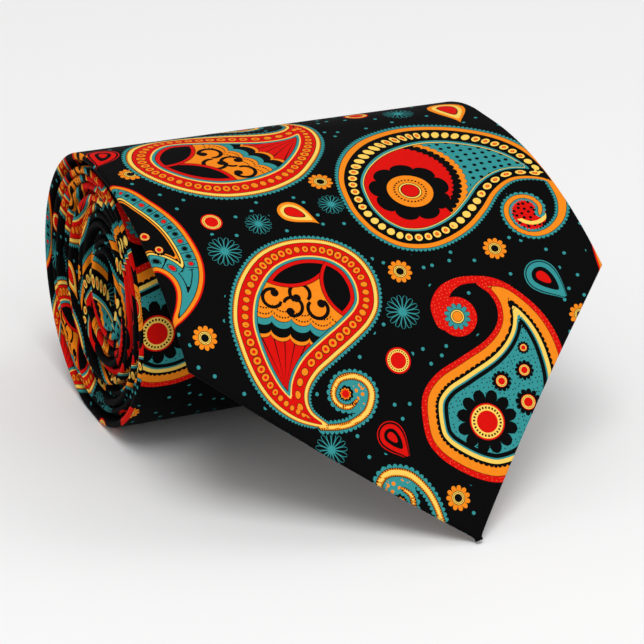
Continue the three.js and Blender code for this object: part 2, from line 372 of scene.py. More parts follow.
# ---- The print: outlines on the flat cloth, in millimetres across and up from the blade's point ---------
LINE_STEP = 0.4
FOLD_POINTS = 6
CHUNK = 4000  # spots that are measured at one time
NO_BAND = -9.0  # the depth of cloth that no big motif reaches
NO_SMALL = 9.0  # the place, in a small motif's drawing, of cloth that none reaches
MOTIF_REACH = 45  # no big motif reaches further than this from its middle
SMALL_REACH = 9
LONGEST_STEP = 3.5  # along a band, within one face; more means that the face lies across the band's ends
END_PRINT = (-12.4, 42.0)  # the print across and up where the roll's axis meets the flush end
END_SLIDE = (2.1, 1.1)  # how the print at that end slides for each millimetre further in
END_JUMP = (3.4, 2.6)  # how far it jumps from one turn to the next, across and up
END_COLUMNS = 5  # points of the back, next to the fold, that carry the end's print
END_FROM = 4.0  # the end's print starts this far past the free blade
END_WIDE_FROM = 200.0  # and from here on it reaches two points further round the fold
REPEAT = 132.0  # the print comes again after this much cloth, both ways
BEAD_PERIOD = {"spoon": 2.25, "drop": 2.8, "leaf": 1.3, "band": 2.3}
KIND = {"spoon": 1, "drop": 2, "leaf": 3, "band": 4}
SMALL = {"flower": 1, "button": 2, "daisy": 3, "teal_tear": 4, "gold_tear": 5, "red_tear": 6,
         "great_rose": 7, "dark_rose": 8, "teal_eye": 11, "red_eye": 12, "red_disc": 13}

# Each knot of a body is across, up and the width of its bands; of a curl, across, up and half its width.
SPOON_BODY = [
    (-18.1, 74.5, 1.0), (-26.5, 72.6, 1.0), (-33.6, 66.8, 1.0), (-37.7, 59.5, 1.0), (-38.5, 52.4, 0.98),
    (-37.7, 45.5, 0.95), (-35.2, 39.6, 0.85), (-30.6, 34.9, 0.7), (-24.2, 32.2, 0.5), (-27.1, 36.6, 0.7),
    (-26.6, 40.3, 0.85), (-23.3, 43.4, 0.95), (-18.1, 45.8, 1.0), (-12.3, 48.4, 1.0), (-7.4, 51.2, 1.0),
    (-4.2, 55.0, 1.0), (-2.8, 61.3, 1.05), (-4.6, 67.7, 1.05), (-10.0, 72.6, 1.02),
]
SPOON_CURL = [
    (-26.5, 32.9, 0.7), (-22.5, 31.9, 0.75), (-18.9, 31.9, 0.8), (-15.0, 33.3, 0.85), (-12.7, 36.6, 0.85),
    (-13.2, 39.4, 0.8), (-15.6, 41.2, 0.8), (-18.9, 41.3, 0.75), (-21.3, 38.9, 0.7), (-20.9, 36.4, 0.65),
    (-18.7, 35.2, 0.6), (-16.6, 36.0, 0.45),
]
DROP_BODY = [
    (-0.4, 80.8, 1.0), (1.3, 89.5, 1.05), (6.6, 97.9, 1.3), (14.8, 104.7, 1.6), (25.2, 107.7, 1.75),
    (34.9, 105.1, 1.62), (43.2, 98.6, 1.4), (47.9, 91.2, 1.15), (49.8, 83.2, 0.85), (49.6, 75.6, 0.45),
    (47.0, 77.4, 0.6), (43.4, 78.7, 0.75), (39.6, 78.6, 0.85), (34.9, 76.0, 0.95), (30.0, 71.6, 1.0),
    (24.3, 67.7, 1.0), (17.9, 65.4, 1.0), (12.3, 65.0, 1.0), (6.6, 66.7, 1.0), (2.6, 70.4, 1.0),
    (0.4, 74.8, 1.0),
]
DROP_CURL = [
    (48.9, 77.5, 0.9), (49.2, 73.8, 1.15), (48.6, 69.6, 1.1), (46.2, 65.3, 0.9), (42.0, 62.7, 0.75),
    (37.9, 62.6, 0.65), (34.9, 64.8, 0.65), (34.0, 68.3, 0.65), (35.4, 71.8, 0.65), (38.7, 73.6, 0.65),
    (41.8, 72.6, 0.65), (42.9, 69.9, 0.6), (41.9, 67.6, 0.5),
]
LEAF_BODY = [
    (-3.8, 25.0, 1.12), (-1.8, 32.6, 1.12), (2.8, 36.6, 1.12), (9.6, 38.7, 1.12), (16.6, 40.8, 1.1),
    (20.7, 43.6, 1.05), (22.2, 47.2, 1.0), (21.7, 50.8, 0.95), (19.6, 54.2, 0.9), (25.9, 52.4, 0.95),
    (30.2, 47.4, 1.02), (33.0, 41.5, 1.1), (34.1, 35.0, 1.15), (33.4, 27.6, 1.15), (30.2, 20.0, 1.15),
    (24.4, 13.6, 1.15), (17.0, 10.2, 1.15), (10.0, 10.0, 1.15), (5.0, 12.2, 1.15), (0.3, 16.2, 1.15),
    (-2.8, 20.4, 1.12),
]
LEAF_CURL = [
    (27.2, 51.0, 0.5), (23.6, 53.6, 0.8), (19.6, 55.0, 0.85), (15.4, 55.4, 1.0), (11.6, 54.0, 1.5),
    (9.2, 50.9, 2.1), (9.2, 47.6, 2.3),
]
BAND_BODY = [
    (-46.6, 100.0, 1.0), (-42.3, 92.4, 1.0), (-39.4, 84.4, 1.0), (-38.6, 76.0, 1.0), (-39.6, 70.5, 1.0),
    (-42.2, 66.0, 1.0), (-45.8, 62.8, 0.9), (-49.5, 60.8, 0.75), (-53.0, 59.8, 0.5), (-50.6, 62.4, 0.75),
    (-48.6, 65.2, 0.85), (-47.4, 68.4, 0.95), (-47.9, 71.4, 1.0), (-50.2, 73.5, 1.0), (-56.0, 75.0, 1.0),
    (-63.5, 77.0, 1.0), (-70.0, 82.5, 1.0), (-72.0, 90.5, 1.0), (-67.5, 98.5, 1.0), (-57.5, 103.5, 1.0),
]
SPOON_DETAILS = [("teal_eye", -16.7, 37.6, 4.1, 0)]
DROP_DETAILS = [("great_rose", 15.5, 81.7, 9.4, 0), ("red_eye", 38.8, 68.3, 4.6, 0)]
LEAF_DETAILS = [
    ("dark_rose", 11.1, 23.6, 7.2, 0), ("dark_rose", 22.0, 25.0, 3.1, 8), ("dark_rose", 17.5, 31.2, 2.4, 0),
    ("dark_rose", 23.6, 32.1, 2.3, 12), ("dark_rose", 25.1, 37.0, 1.5, 0), ("red_disc", 12.4, 47.7, 4.6, 0),
]
BAND_DETAILS = [
    ("dark_rose", -48.5, 82.6, 1.9, 0), ("dark_rose", -46.9, 78.5, 1.6, 0), ("flower", -55.0, 80.0, 3.2, 0),
    ("dark_rose", -62.0, 84.0, 2.6, 0), ("button", -58.0, 90.5, 1.9, 0), ("button", -63.5, 75.5, 2.2, 0),
    ("dark_rose", -50.5, 89.5, 1.7, 0), ("dark_rose", -53.5, 70.5, 2.2, 0),
]
MOTIFS = {
    "spoon": (SPOON_BODY, SPOON_CURL, SPOON_DETAILS),
    "drop": (DROP_BODY, DROP_CURL, DROP_DETAILS),
    "leaf": (LEAF_BODY, LEAF_CURL, LEAF_DETAILS),
    "band": (BAND_BODY, None, BAND_DETAILS),
}
# Where each motif lies: name, the point that it turns about, where that point goes, its turn and its size.
LAID_OUT = [
    ("spoon", (0.0, 0.0), (0.0, 0.0), 0, 1.0),
    ("spoon", (-22.0, 59.0), (-19.7, 104.6), 136, 1.12),
    ("drop", (0.0, 0.0), (0.0, 0.0), 0, 1.0),
    ("leaf", (0.0, 0.0), (0.0, 0.0), 0, 1.0),
    ("band", (0.0, 0.0), (0.0, 0.0), 0, 1.0),
]
# Motifs that come once, and take their neighbours' room: by the point, on the roll, by the blade's corner.
COME_ONCE = [
    ("spoon", (-24.0, 44.0), (-19.5, 5.5), 105, 1.1),
    ("leaf", (0.0, 0.0), (-48.1, 235.9), 0, 1.0),
    ("band", (-57.0, 81.0), (67.5, 47.0), 172, 1.0),
]
ROOM = 34.0  # no repeated motif stands nearer than this to one that comes once
CURL_DEPTH = 1.05  # a curl is drawn in the outermost colours only
# Small motifs between the big ones: name, across, up, radius, turn of the tip.
SCATTERED = [
    ("flower", -1.5, 10.0, 3.0, 0), ("flower", 3.5, 61.0, 3.0, 10), ("flower", 27.4, 61.2, 3.0, 0),
    ("flower", -3.0, 89.8, 3.0, 5), ("flower", -45.2, 56.7, 2.9, 0), ("flower", -42.3, 104.6, 2.9, 0),
    ("flower", 41.0, 40.7, 2.9, 0), ("flower", 60.0, 118.0, 3.0, 0),
    ("button", -4.4, 41.8, 2.9, 0), ("button", -32.4, 83.3, 2.4, 0), ("button", 20.5, 120.5, 2.8, 0),
    ("button", 71.0, 96.0, 2.8, 0), ("button", 47.0, 12.0, 2.8, 0),
    ("daisy", 0.4, 51.8, 3.9, 0), ("daisy", -33.0, 74.9, 3.8, 0), ("daisy", -22.5, 80.3, 3.0, 0),
    ("daisy", -4.0, 82.0, 3.0, 0), ("daisy", -25.7, 27.8, 3.6, 0), ("daisy", 29.5, 117.0, 3.6, 0),
    ("daisy", 60.0, 82.0, 3.6, 0), ("daisy", 44.0, 24.0, 3.6, 0), ("daisy", -46.0, 12.0, 3.6, 0),
    ("teal_tear", 35.3, 52.0, 4.0, 222), ("gold_tear", -13.9, 82.1, 3.2, 237),
    ("red_tear", -11.6, 26.9, 3.2, 214), ("red_tear", -43.6, 116.8, 3.6, 158),
    ("gold_tear", 41.3, 116.0, 4.6, 187), ("teal_tear", 58.0, 104.0, 3.8, 20),
    ("red_tear", -44.0, 30.0, 3.6, 40), ("teal_tear", -36.0, 22.0, 3.2, 300),
    ("red_tear", 66.0, 14.0, 3.8, 100), ("gold_tear", 6.0, 128.5, 3.0, 80),
]


def smooth_line(knots, closed):
    """Points of a curve that runs smoothly through the knots."""
    knots = np.array(knots, dtype=float)
    count = len(knots)
    pieces = []
    for i in range(count if closed else count - 1):
        wanted = [i - 1, i, i + 1, i + 2]
        around = [j % count if closed else min(max(j, 0), count - 1) for j in wanted]
        before, here, after, later = knots[around]
        steps = max(3, int(np.hypot(*(after - here)[:2]) / LINE_STEP))
        t = np.arange(steps)[:, None] / steps
        bend = 2 * before - 5 * here + 4 * after - later
        twist = 3 * here - before - 3 * after + later
        pieces.append(0.5 * (2 * here + (after - before) * t + bend * t ** 2 + twist * t ** 3))
    pieces.append(knots[:1] if closed else knots[-1:])
    return np.vstack(pieces)


def nearest_on(line, spots):
    """Distance from each spot to the line, how far along it that is, and the line's third number there."""
    start = line[:-1, :2]
    run = np.diff(line[:, :2], axis=0)
    length = np.hypot(*run.T)
    share = np.empty(len(spots))
    distance = np.empty(len(spots))
    index = np.empty(len(spots), dtype=int)
    for low in range(0, len(spots), CHUNK):
        some = slice(low, low + CHUNK)
        across = spots[some, 0:1] - start[:, 0]
        up = spots[some, 1:2] - start[:, 1]
        t = np.clip((across * run[:, 0] + up * run[:, 1]) / length ** 2, 0, 1)
        gap = (across - t * run[:, 0]) ** 2 + (up - t * run[:, 1]) ** 2
        best = gap.argmin(axis=1)
        row = np.arange(len(best))
        index[some] = best
        share[some] = t[row, best]
        distance[some] = np.sqrt(gap[row, best])
    third = line[index, 2] + (line[index + 1, 2] - line[index, 2]) * share
    return distance, index, share, third


def is_inside(loop, spots):
    """Whether each spot is inside a closed line."""
    x, y = loop[:-1, 0], loop[:-1, 1]
    x_next, y_next = loop[1:, 0], loop[1:, 1]
    odd = np.zeros(len(spots), dtype=bool)
    for low in range(0, len(spots), CHUNK):
        some = slice(low, low + CHUNK)
        across, up = spots[some, 0:1], spots[some, 1:2]
        rise = np.where(y_next == y, 1e-9, y_next - y)
        crossed = ((y > up) != (y_next > up)) & (across < (x_next - x) * (up - y) / rise + x)
        odd[some] = crossed.sum(axis=1) % 2 == 1
    return odd


def run_lengths(line, scaled, period):
    """Length along the line at each point, with a whole number of periods in all."""
    step = np.hypot(*np.diff(line[:, :2], axis=0).T)
    if scaled:
        step = step / ((line[1:, 2] + line[:-1, 2]) / 2)
    total = np.concatenate([[0], np.cumsum(step)])
    whole = max(1, round(total[-1] / period)) * period
    return total * whole / total[-1]


def local_place(spots, pivot, goes_to, turn, size):
    """Where spots of the cloth are in the motif's own drawing."""
    angle = math.radians(turn)
    across = (spots[:, 0] - goes_to[0]) / size
    up = (spots[:, 1] - goes_to[1]) / size
    x = pivot[0] + across * math.cos(angle) + up * math.sin(angle)
    y = pivot[1] - across * math.sin(angle) + up * math.cos(angle)
    return np.stack([x, y], axis=1)


def cloth_place(spot, pivot, goes_to, turn, size):
    """Where a spot of the motif's own drawing is on the cloth."""
    angle = math.radians(turn)
    across, up = spot[0] - pivot[0], spot[1] - pivot[1]
    return (goes_to[0] + size * (across * math.cos(angle) - up * math.sin(angle)),
            goes_to[1] + size * (across * math.sin(angle) + up * math.cos(angle)))


def big_copies(low, high):
    """Every copy of a big motif that may reach the cloth between two corners."""
    taken = []
    for once in COME_ONCE:
        middle = cloth_place(np.array(MOTIFS[once[0]][0])[:, :2].mean(axis=0), *once[1:])
        taken.append(middle)
        if all(low[k] - MOTIF_REACH < middle[k] < high[k] + MOTIF_REACH for k in (0, 1)):
            yield once
    for name, pivot, goes_to, turn, size in LAID_OUT:
        body = np.array(MOTIFS[name][0])
        middle = cloth_place(body[:, :2].mean(axis=0), pivot, goes_to, turn, size)
        first = [math.ceil((low[k] - MOTIF_REACH - middle[k]) / REPEAT) for k in (0, 1)]
        last = [math.floor((high[k] + MOTIF_REACH - middle[k]) / REPEAT) for k in (0, 1)]
        for across in range(first[0], last[0] + 1):
            for up in range(first[1], last[1] + 1):
                shift = (across * REPEAT, up * REPEAT)
                here = (middle[0] + shift[0], middle[1] + shift[1])
                if all(math.dist(here, other) > ROOM for other in taken):
                    yield name, pivot, (goes_to[0] + shift[0], goes_to[1] + shift[1]), turn, size


def small_copies(low, high):
    """Every small motif near the cloth between two corners: across, up, radius, turn and kind."""
    rows = []
    for name, across, up, radius, turn in SCATTERED:
        for i in range(-2, 3):
            for j in range(-1, 13):
                rows.append((across + i * REPEAT, up + j * REPEAT, radius, turn, SMALL[name]))
    for name, pivot, goes_to, turn, size in big_copies(low, high):
        for detail, across, up, radius, own_turn in MOTIFS[name][2]:
            spot = cloth_place((across, up), pivot, goes_to, turn, size)
            rows.append((*spot, radius * size, own_turn + turn, SMALL[detail]))
    rows = np.array(rows)
    spots = rows[:, :2]
    near = ((spots > low - SMALL_REACH) & (spots < high + SMALL_REACH)).all(axis=1)
    return rows[near]


def print_values(flat, quads):
    """At every corner: depth and length in a big motif, the place in its drawing, and that in a small one."""
    corner_flat = flat[quads]
    count = len(quads)
    band = np.zeros((count, 4, 3))
    band[:, :, 0] = NO_BAND
    field = np.zeros((count, 4, 3))
    best = np.full(count, NO_BAND)
    low, high = flat.min(axis=0), flat.max(axis=0)
    for name, pivot, goes_to, turn, size in big_copies(low, high):
        body, curl, _ = MOTIFS[name]
        own = local_place(flat, pivot, goes_to, turn, size)
        loop = smooth_line(body, True)
        near = ((own > loop[:, :2].min(axis=0) - 8) & (own < loop[:, :2].max(axis=0) + 8)).all(axis=1)
        faces = np.nonzero(near[quads].all(axis=1))[0]
        if not len(faces):
            continue
        spots = np.nonzero(near)[0]
        lines = [(loop, True)] + ([(smooth_line(curl, False), False)] if curl else [])
        for line, closed in lines:
            distance, index, share, third = nearest_on(line, own[spots])
            lengths = run_lengths(line, closed and name != "drop", BEAD_PERIOD[name])
            along = lengths[index] + (lengths[index + 1] - lengths[index]) * share
            if closed:
                depth = np.where(is_inside(line, own[spots]), distance, -distance) / third
            else:
                depth = np.minimum(third - distance, CURL_DEPTH)
            depth_all = np.full(len(flat), NO_BAND)
            along_all = np.zeros(len(flat))
            depth_all[spots] = depth
            along_all[spots] = along
            depth_here = depth_all[quads[faces]]
            along_here = along_all[quads[faces]]
            jump = along_here - along_here[:, :1]
            if closed:
                jump -= lengths[-1] * np.round(jump / lengths[-1])
            jump = np.where(np.abs(jump) > LONGEST_STEP, 0, jump)
            along_here = along_here[:, :1] + jump
            middle = depth_here.mean(axis=1)
            wins = middle > best[faces]
            won = faces[wins]
            best[won] = middle[wins]
            band[won, :, 0] = depth_here[wins]
            band[won, :, 1] = along_here[wins]
            band[won, :, 2] = KIND[name]
            field[won, :, :2] = own[quads[won]]
    return {"band": band, "field": field, "small": small_values(corner_flat, low, high)}


def small_values(corner_flat, low, high):
    """At every corner: the place in the nearest small motif's drawing, and that motif's kind."""
    centre = corner_flat.mean(axis=1)
    rows = small_copies(low, high)
    small = np.full((len(centre), 4, 3), NO_SMALL)
    for first in range(0, len(centre), CHUNK):
        some = slice(first, first + CHUNK)
        gap = np.hypot(centre[some, 0:1] - rows[:, 0], centre[some, 1:2] - rows[:, 1]) / rows[:, 2]
        chosen = rows[gap.argmin(axis=1)]
        angle = np.radians(chosen[:, 3])[:, None]
        across = (corner_flat[some, :, 0] - chosen[:, 0:1]) / chosen[:, 2:3]
        up = (corner_flat[some, :, 1] - chosen[:, 1:2]) / chosen[:, 2:3]
        small[some, :, 0] = across * np.cos(angle) + up * np.sin(angle)
        small[some, :, 1] = up * np.cos(angle) - across * np.sin(angle)
        small[some, :, 2] = chosen[:, 4:5]
    return small


def lay_print(piece, points, flat, quads, back, count):
    """Puts the print on the cloth. At the roll's flush end the folded edges carry it across the turns."""
    values = print_values(flat, quads)
    corner_flat = flat[quads]
    point_of = np.arange(len(quads)) % count
    along = flat[quads[:, 0], 1]
    on_back = (point_of >= back - END_COLUMNS) & (point_of < back + FOLD_POINTS)
    by_fold = (point_of >= back - END_COLUMNS) & (point_of < back + FOLD_POINTS + 2)
    on_edge = (on_back & (along > FREE_LENGTH + END_FROM)) | (by_fold & (along > FREE_LENGTH + END_WIDE_FROM))
    if on_edge.any():
        deep = points[:, 0] - ROLL_END
        turn = np.maximum(0, np.searchsorted(PATH[0], flat[:, 1]) - ARC_STEPS - 2) // ROLL_STEPS
        end_across = END_PRINT[0] - points[:, 1] + END_SLIDE[0] * deep + END_JUMP[0] * turn
        end_up = END_PRINT[1] + points[:, 2] + END_SLIDE[1] * deep + END_JUMP[1] * turn
        across_end = np.stack([end_across, end_up], axis=1)
        edge_values = print_values(across_end, quads[on_edge])
        corner_flat[on_edge] = across_end[quads[on_edge]]
        for name in values:
            values[name][on_edge] = edge_values[name]
    corners = len(piece.data.loops)
    for name, given in values.items():
        layer = piece.data.attributes.new(name, "FLOAT_VECTOR", "CORNER")
        full = np.zeros((corners, 3), dtype=np.float32)
        full[:len(quads) * 4] = given.reshape(-1, 3)
        if name == "band":
            full[len(quads) * 4:, 0] = NO_BAND
        if name == "small":
            full[len(quads) * 4:, :2] = NO_SMALL
        layer.data.foreach_set("vector", full.ravel())
    placed = np.zeros((corners, 2), dtype=np.float32)
    placed[:len(quads) * 4] = corner_flat.reshape(-1, 2) * MM
    piece.data.uv_layers.new(name="flat_cloth").data.foreach_set("uv", placed.ravel())


# ---- Shader recipes -------------------------------------------------------------------------------------
SMALL_SPAN = (0, 1.2)  # the values that the colours of a small motif, a bead and a band are spread over
BEAD_SPAN = (0, 3)
BAND_SPAN = (-2, 10)
BLACK = (9, 9, 10)
RED = (210, 17, 12)
ORANGE = (236, 133, 27)
TEAL = (51, 140, 141)
YELLOW = (243, 201, 91)
SPECKLE = (228, 88, 48)
DARK = (16, 11, 10)


def linear(colour):
    share = [c / 255 for c in colour]
    return tuple(c / 12.92 if c <= 0.04045 else ((c + 0.055) / 1.055) ** 2.4 for c in share) + (1.0,)


def step(operation, turned=False):
    """A Number's way to work with another value, or alone; turned puts the other value first."""
    def worked(number, *other):
        values = (*other, number) if turned else (number, *other)
        return number.recipe.math(operation, *values)
    return worked


class Number:
    """A number that changes over the surface. Sums work on it; > and < make masks, and & and | join them."""

    __add__, __radd__ = step("ADD"), step("ADD", turned=True)
    __sub__, __rsub__ = step("SUBTRACT"), step("SUBTRACT", turned=True)
    __mul__, __truediv__, __pow__ = step("MULTIPLY"), step("DIVIDE"), step("POWER")
    __abs__, __gt__, __lt__ = step("ABSOLUTE"), step("GREATER_THAN"), step("LESS_THAN")
    __and__, __or__ = step("MULTIPLY"), step("MAXIMUM")

    def __init__(self, recipe, socket):
        self.recipe = recipe
        self.socket = socket


class Recipe:
    """Adds shader nodes to a tree, one short call for each."""

    def __init__(self, tree):
        self.tree = tree

    def node(self, kind, **settings):
        made = self.tree.nodes.new(kind)
        for name, value in settings.items():
            setattr(made, name, value)
        return made

    def feed(self, socket, value):
        if isinstance(value, Number):
            value = value.socket
        if isinstance(value, bpy.types.NodeSocket):
            self.tree.links.new(value, socket)
        else:
            socket.default_value = value

    def fill(self, node, values):
        for name, value in values.items():
            self.feed(node.inputs[name], value)

    def math(self, operation, *values, clamp=False):
        made = self.node("ShaderNodeMath", operation=operation, use_clamp=clamp)
        for socket, value in zip(made.inputs, values):
            self.feed(socket, value)
        return Number(self, made.outputs[0])

    def length(self, across, up):
        return self.math("SQRT", across ** 2.0 + up ** 2.0)

    def off_beat(self, count):
        """How far a count is from the middle of its own whole step, 0 to 0.5."""
        return abs(self.math("FRACT", count) - 0.5)

    def is_kind(self, kind, number):
        return self.math("COMPARE", kind, float(number), 0.3)

    def paint(self, mask, below, above):
        made = self.node("ShaderNodeMix", data_type="RGBA")
        self.feed(made.inputs["Factor"], mask)
        for name, value in (("A", below), ("B", above)):
            socket = next(s for s in made.inputs if s.name == name and s.type == "RGBA")
            self.feed(socket, linear(value) if isinstance(value, tuple) else value)
        return next(s for s in made.outputs if s.type == "RGBA")

    def stripes(self, value, edges, span=SMALL_SPAN):
        """Flat colours by value: each edge is where a colour starts."""
        made = self.node("ShaderNodeValToRGB")
        ramp = made.color_ramp
        ramp.interpolation = "CONSTANT"
        low, high = span
        for i, (edge, colour) in enumerate(edges):
            position = min(1.0, max(0.0, (edge - low) / (high - low)))
            stop = ramp.elements[i] if i < 2 else ramp.elements.new(position)
            stop.position = position
            stop.color = linear(colour)
        scaled = self.node("ShaderNodeMapRange")
        self.fill(scaled, {"Value": value, "From Min": low, "From Max": high})
        self.feed(made.inputs[0], scaled.outputs[0])
        return made.outputs[0]

    def split(self, vector):
        made = self.node("ShaderNodeSeparateXYZ")
        self.feed(made.inputs[0], vector)
        return [Number(self, socket) for socket in made.outputs]

    def attribute(self, name):
        made = self.node("ShaderNodeAttribute", attribute_name=name, attribute_type="GEOMETRY")
        return made.outputs["Vector"]

    def in_millimetres(self, vector):
        made = self.node("ShaderNodeVectorMath", operation="SCALE")
        self.fill(made, {"Vector": vector, "Scale": 1 / MM})
        return made.outputs[0]

    def call(self, group, **values):
        made = self.node("ShaderNodeGroup", node_tree=group)
        for name, value in values.items():
            self.feed(made.inputs[name.capitalize()], value)
        return {socket.name: Number(self, socket) for socket in made.outputs}

    def dots(self, x, y, pitch, radius, spread_out=0.6):
        """Small round dots scattered over the cloth."""
        place_at = self.node("ShaderNodeCombineXYZ")
        self.fill(place_at, {"X": x, "Y": y})
        cells = self.node("ShaderNodeTexVoronoi", voronoi_dimensions="2D")
        self.fill(cells, {"Vector": place_at.outputs[0], "Scale": 1 / pitch, "Randomness": spread_out})
        return Number(self, cells.outputs["Distance"]) < radius / pitch


def new_group(name, inputs, outputs):
    """A shader group: its recipe, its inputs as numbers by name, and the sockets of its result."""
    tree = bpy.data.node_groups.new(name, "ShaderNodeTree")
    for label, value in inputs:
        kind = "NodeSocketVector" if value is None else "NodeSocketFloat"
        made = tree.interface.new_socket(label, in_out="INPUT", socket_type=kind)
        if value is not None:
            made.default_value = value
    for label in outputs:
        tree.interface.new_socket(label, in_out="OUTPUT", socket_type="NodeSocketFloat")
    recipe = Recipe(tree)
    given = {socket.name: Number(recipe, socket) for socket in recipe.node("NodeGroupInput").outputs}
    return recipe, given, recipe.node("NodeGroupOutput").inputs


def build_petals():
    """Radius about a flower's middle, pulled out between the petals so that one edge draws them all."""
    inputs = [("Across", 0.0), ("Up", 0.0), ("Petals", 10.0), ("Depth", 0.2)]
    recipe, given, result = new_group("petal_ring", inputs, ["Radius", "Turn"])
    radius = recipe.length(given["Across"], given["Up"])
    turn = recipe.math("ARCTAN2", given["Up"], given["Across"])
    half_turns = turn * (given["Petals"] * 0.5)
    arch = recipe.math("SQRT", abs(recipe.math("COSINE", half_turns)))
    pulled = given["Depth"] * (1.0 - arch)
    recipe.feed(result["Radius"], radius + pulled)
    recipe.feed(result["Turn"], turn)
    return recipe.tree


def build_arches():
    """A row of small arches along a line, 0 between them and 1 at their tops."""
    recipe, given, result = new_group("arch_row", [("Along", 0.0), ("Period", 1.0)], ["Arch"])
    half_turns = given["Along"] / given["Period"] * math.pi
    recipe.feed(result["Arch"], recipe.math("SQRT", abs(recipe.math("SINE", half_turns))))
    return recipe.tree


def build_beads():
    """Distance from the middle of the nearest bead in a row, 1 at its edge."""
    inputs = [("Depth", 0.0), ("Along", 0.0), ("Centre", 3.0), ("Period", 2.0), ("Radius", 1.0),
              ("Length", 1.0)]
    recipe, given, result = new_group("bead_row", inputs, ["Distance"])
    count = given["Along"] / given["Period"]
    aside = (recipe.math("FRACT", count) - 0.5) * given["Period"]
    across = (given["Depth"] - given["Centre"]) / given["Radius"]
    along = aside / given["Length"]
    recipe.feed(result["Distance"], recipe.length(across, along))
    return recipe.tree


def build_weave():
    """Fine slanting twill with a little unevenness: a height and a shade, both about 0 to 1."""
    recipe, given, result = new_group("twill_weave", [("Place", None), ("Pitch", 0.45)], ["Height", "Shade"])
    x, y, z = recipe.split(given["Place"])
    rib = (x + y + z * 0.6) / given["Pitch"]
    rib_wave = recipe.math("SINE", rib * (2 * math.pi))
    pick = (x - y - z * 0.6) / (given["Pitch"] * 0.7)
    pick_wave = recipe.math("SINE", pick * (2 * math.pi))
    woven = rib_wave * 0.35 + pick_wave * 0.15
    uneven = recipe.node("ShaderNodeTexNoise")
    recipe.fill(uneven, {"Vector": given["Place"], "Scale": 0.9, "Detail": 4})
    recipe.feed(result["Height"], woven + 0.5)
    recipe.feed(result["Shade"], woven * 0.35 + uneven.outputs[0])
    return recipe.tree


PETALS, ARCHES, BEADS, WEAVE = build_petals(), build_arches(), build_beads(), build_weave()


def ring_of(recipe, x, y, petals=1, depth=0.0):
    """Radius and turn about a small motif's middle, with the radius pulled out between so many petals."""
    return recipe.call(PETALS, across=x, up=y, petals=float(petals), depth=depth)


def dotted_ring(recipe, plain, inner, outer, count, share):
    """A ring of evenly spaced dots between two radii; share is half a dot's part of its pitch."""
    near = recipe.off_beat(plain["Turn"] * (count / (2 * math.pi))) < share
    return (plain["Radius"] > inner) & (plain["Radius"] < outer) & near


def paint_small(recipe, below, small, clear_of_big):
    """Flowers, buttons and tears, each drawn with its own middle at 0 and its edge at 1."""
    x, y, kind = recipe.split(small)

    def is_small(name):
        return recipe.is_kind(kind, SMALL[name]) & clear_of_big

    colour = below
    plain = ring_of(recipe, x, y)
    radius, turn = plain["Radius"], plain["Turn"]

    # An orange flower: petals, a yellow ring and a black middle.
    petals = ring_of(recipe, x, y, 11, 0.34)["Radius"]
    flower = recipe.stripes(petals, [(0, ORANGE), (0.93, BLACK)])
    middle = recipe.stripes(radius, [(0, BLACK), (0.3, YELLOW), (0.36, DARK), (0.4, YELLOW), (0.47, DARK),
                                     (0.52, ORANGE)])
    lines = (ring_of(recipe, x, y, 11, 0.5)["Radius"] > 0.99) & (petals < 0.93)
    flower = recipe.paint(radius < 0.53, recipe.paint(lines, flower, DARK), middle)
    colour = recipe.paint(is_small("flower") & (petals < 1.0), colour, flower)

    # A red button with a dotted yellow ring.
    button = recipe.stripes(radius, [(0, RED), (0.62, YELLOW), (0.86, RED)])
    button = recipe.paint(dotted_ring(recipe, plain, 0.7, 0.8, 26, 0.24), button, DARK)
    colour = recipe.paint(is_small("button") & (radius < 1.0), colour, button)

    # A daisy of thin outlined petals.
    sideways = recipe.off_beat(turn * (15 / (2 * math.pi)))
    swell = recipe.math("SQRT", recipe.math("MAXIMUM", 0.0, (1.0 - radius) * (radius - 0.12)))
    gap = abs(sideways - swell * 0.98) * radius
    petal_line = (gap < 0.045) & (radius < 1.0) & (radius > 0.2)
    daisy_mask = petal_line | (radius < 0.24)
    colour = recipe.paint(is_small("daisy") & daisy_mask, colour, TEAL)

    # Tears: a round end, and a point that bends a little.
    rise = recipe.math("MAXIMUM", y, 0.0)
    bent = x - rise ** 2.0 * 0.11
    reach = recipe.math("MINIMUM", rise / 2.25, 0.999)
    narrow = (1.0 - reach) ** 1.3 * (1.0 + reach * 1.3)
    tall = recipe.math("MAXIMUM", y * -1.0, reach)
    tear = recipe.length(bent / narrow, tall)
    on_tear = tear < 1.0
    teal_tear = recipe.stripes(tear, [(0, RED), (0.3, BLACK), (0.56, TEAL), (0.86, BLACK), (0.93, TEAL)])
    gold_tear = recipe.stripes(tear, [(0, RED), (0.42, BLACK), (0.47, YELLOW), (0.7, ORANGE), (0.93, DARK)])
    red_tear = recipe.stripes(tear, [(0, RED), (0.26, BLACK), (0.5, RED), (0.8, BLACK), (0.93, RED)])
    for name, made in (("teal_tear", teal_tear), ("gold_tear", gold_tear), ("red_tear", red_tear)):
        colour = recipe.paint(is_small(name) & on_tear, colour, made)
    return colour


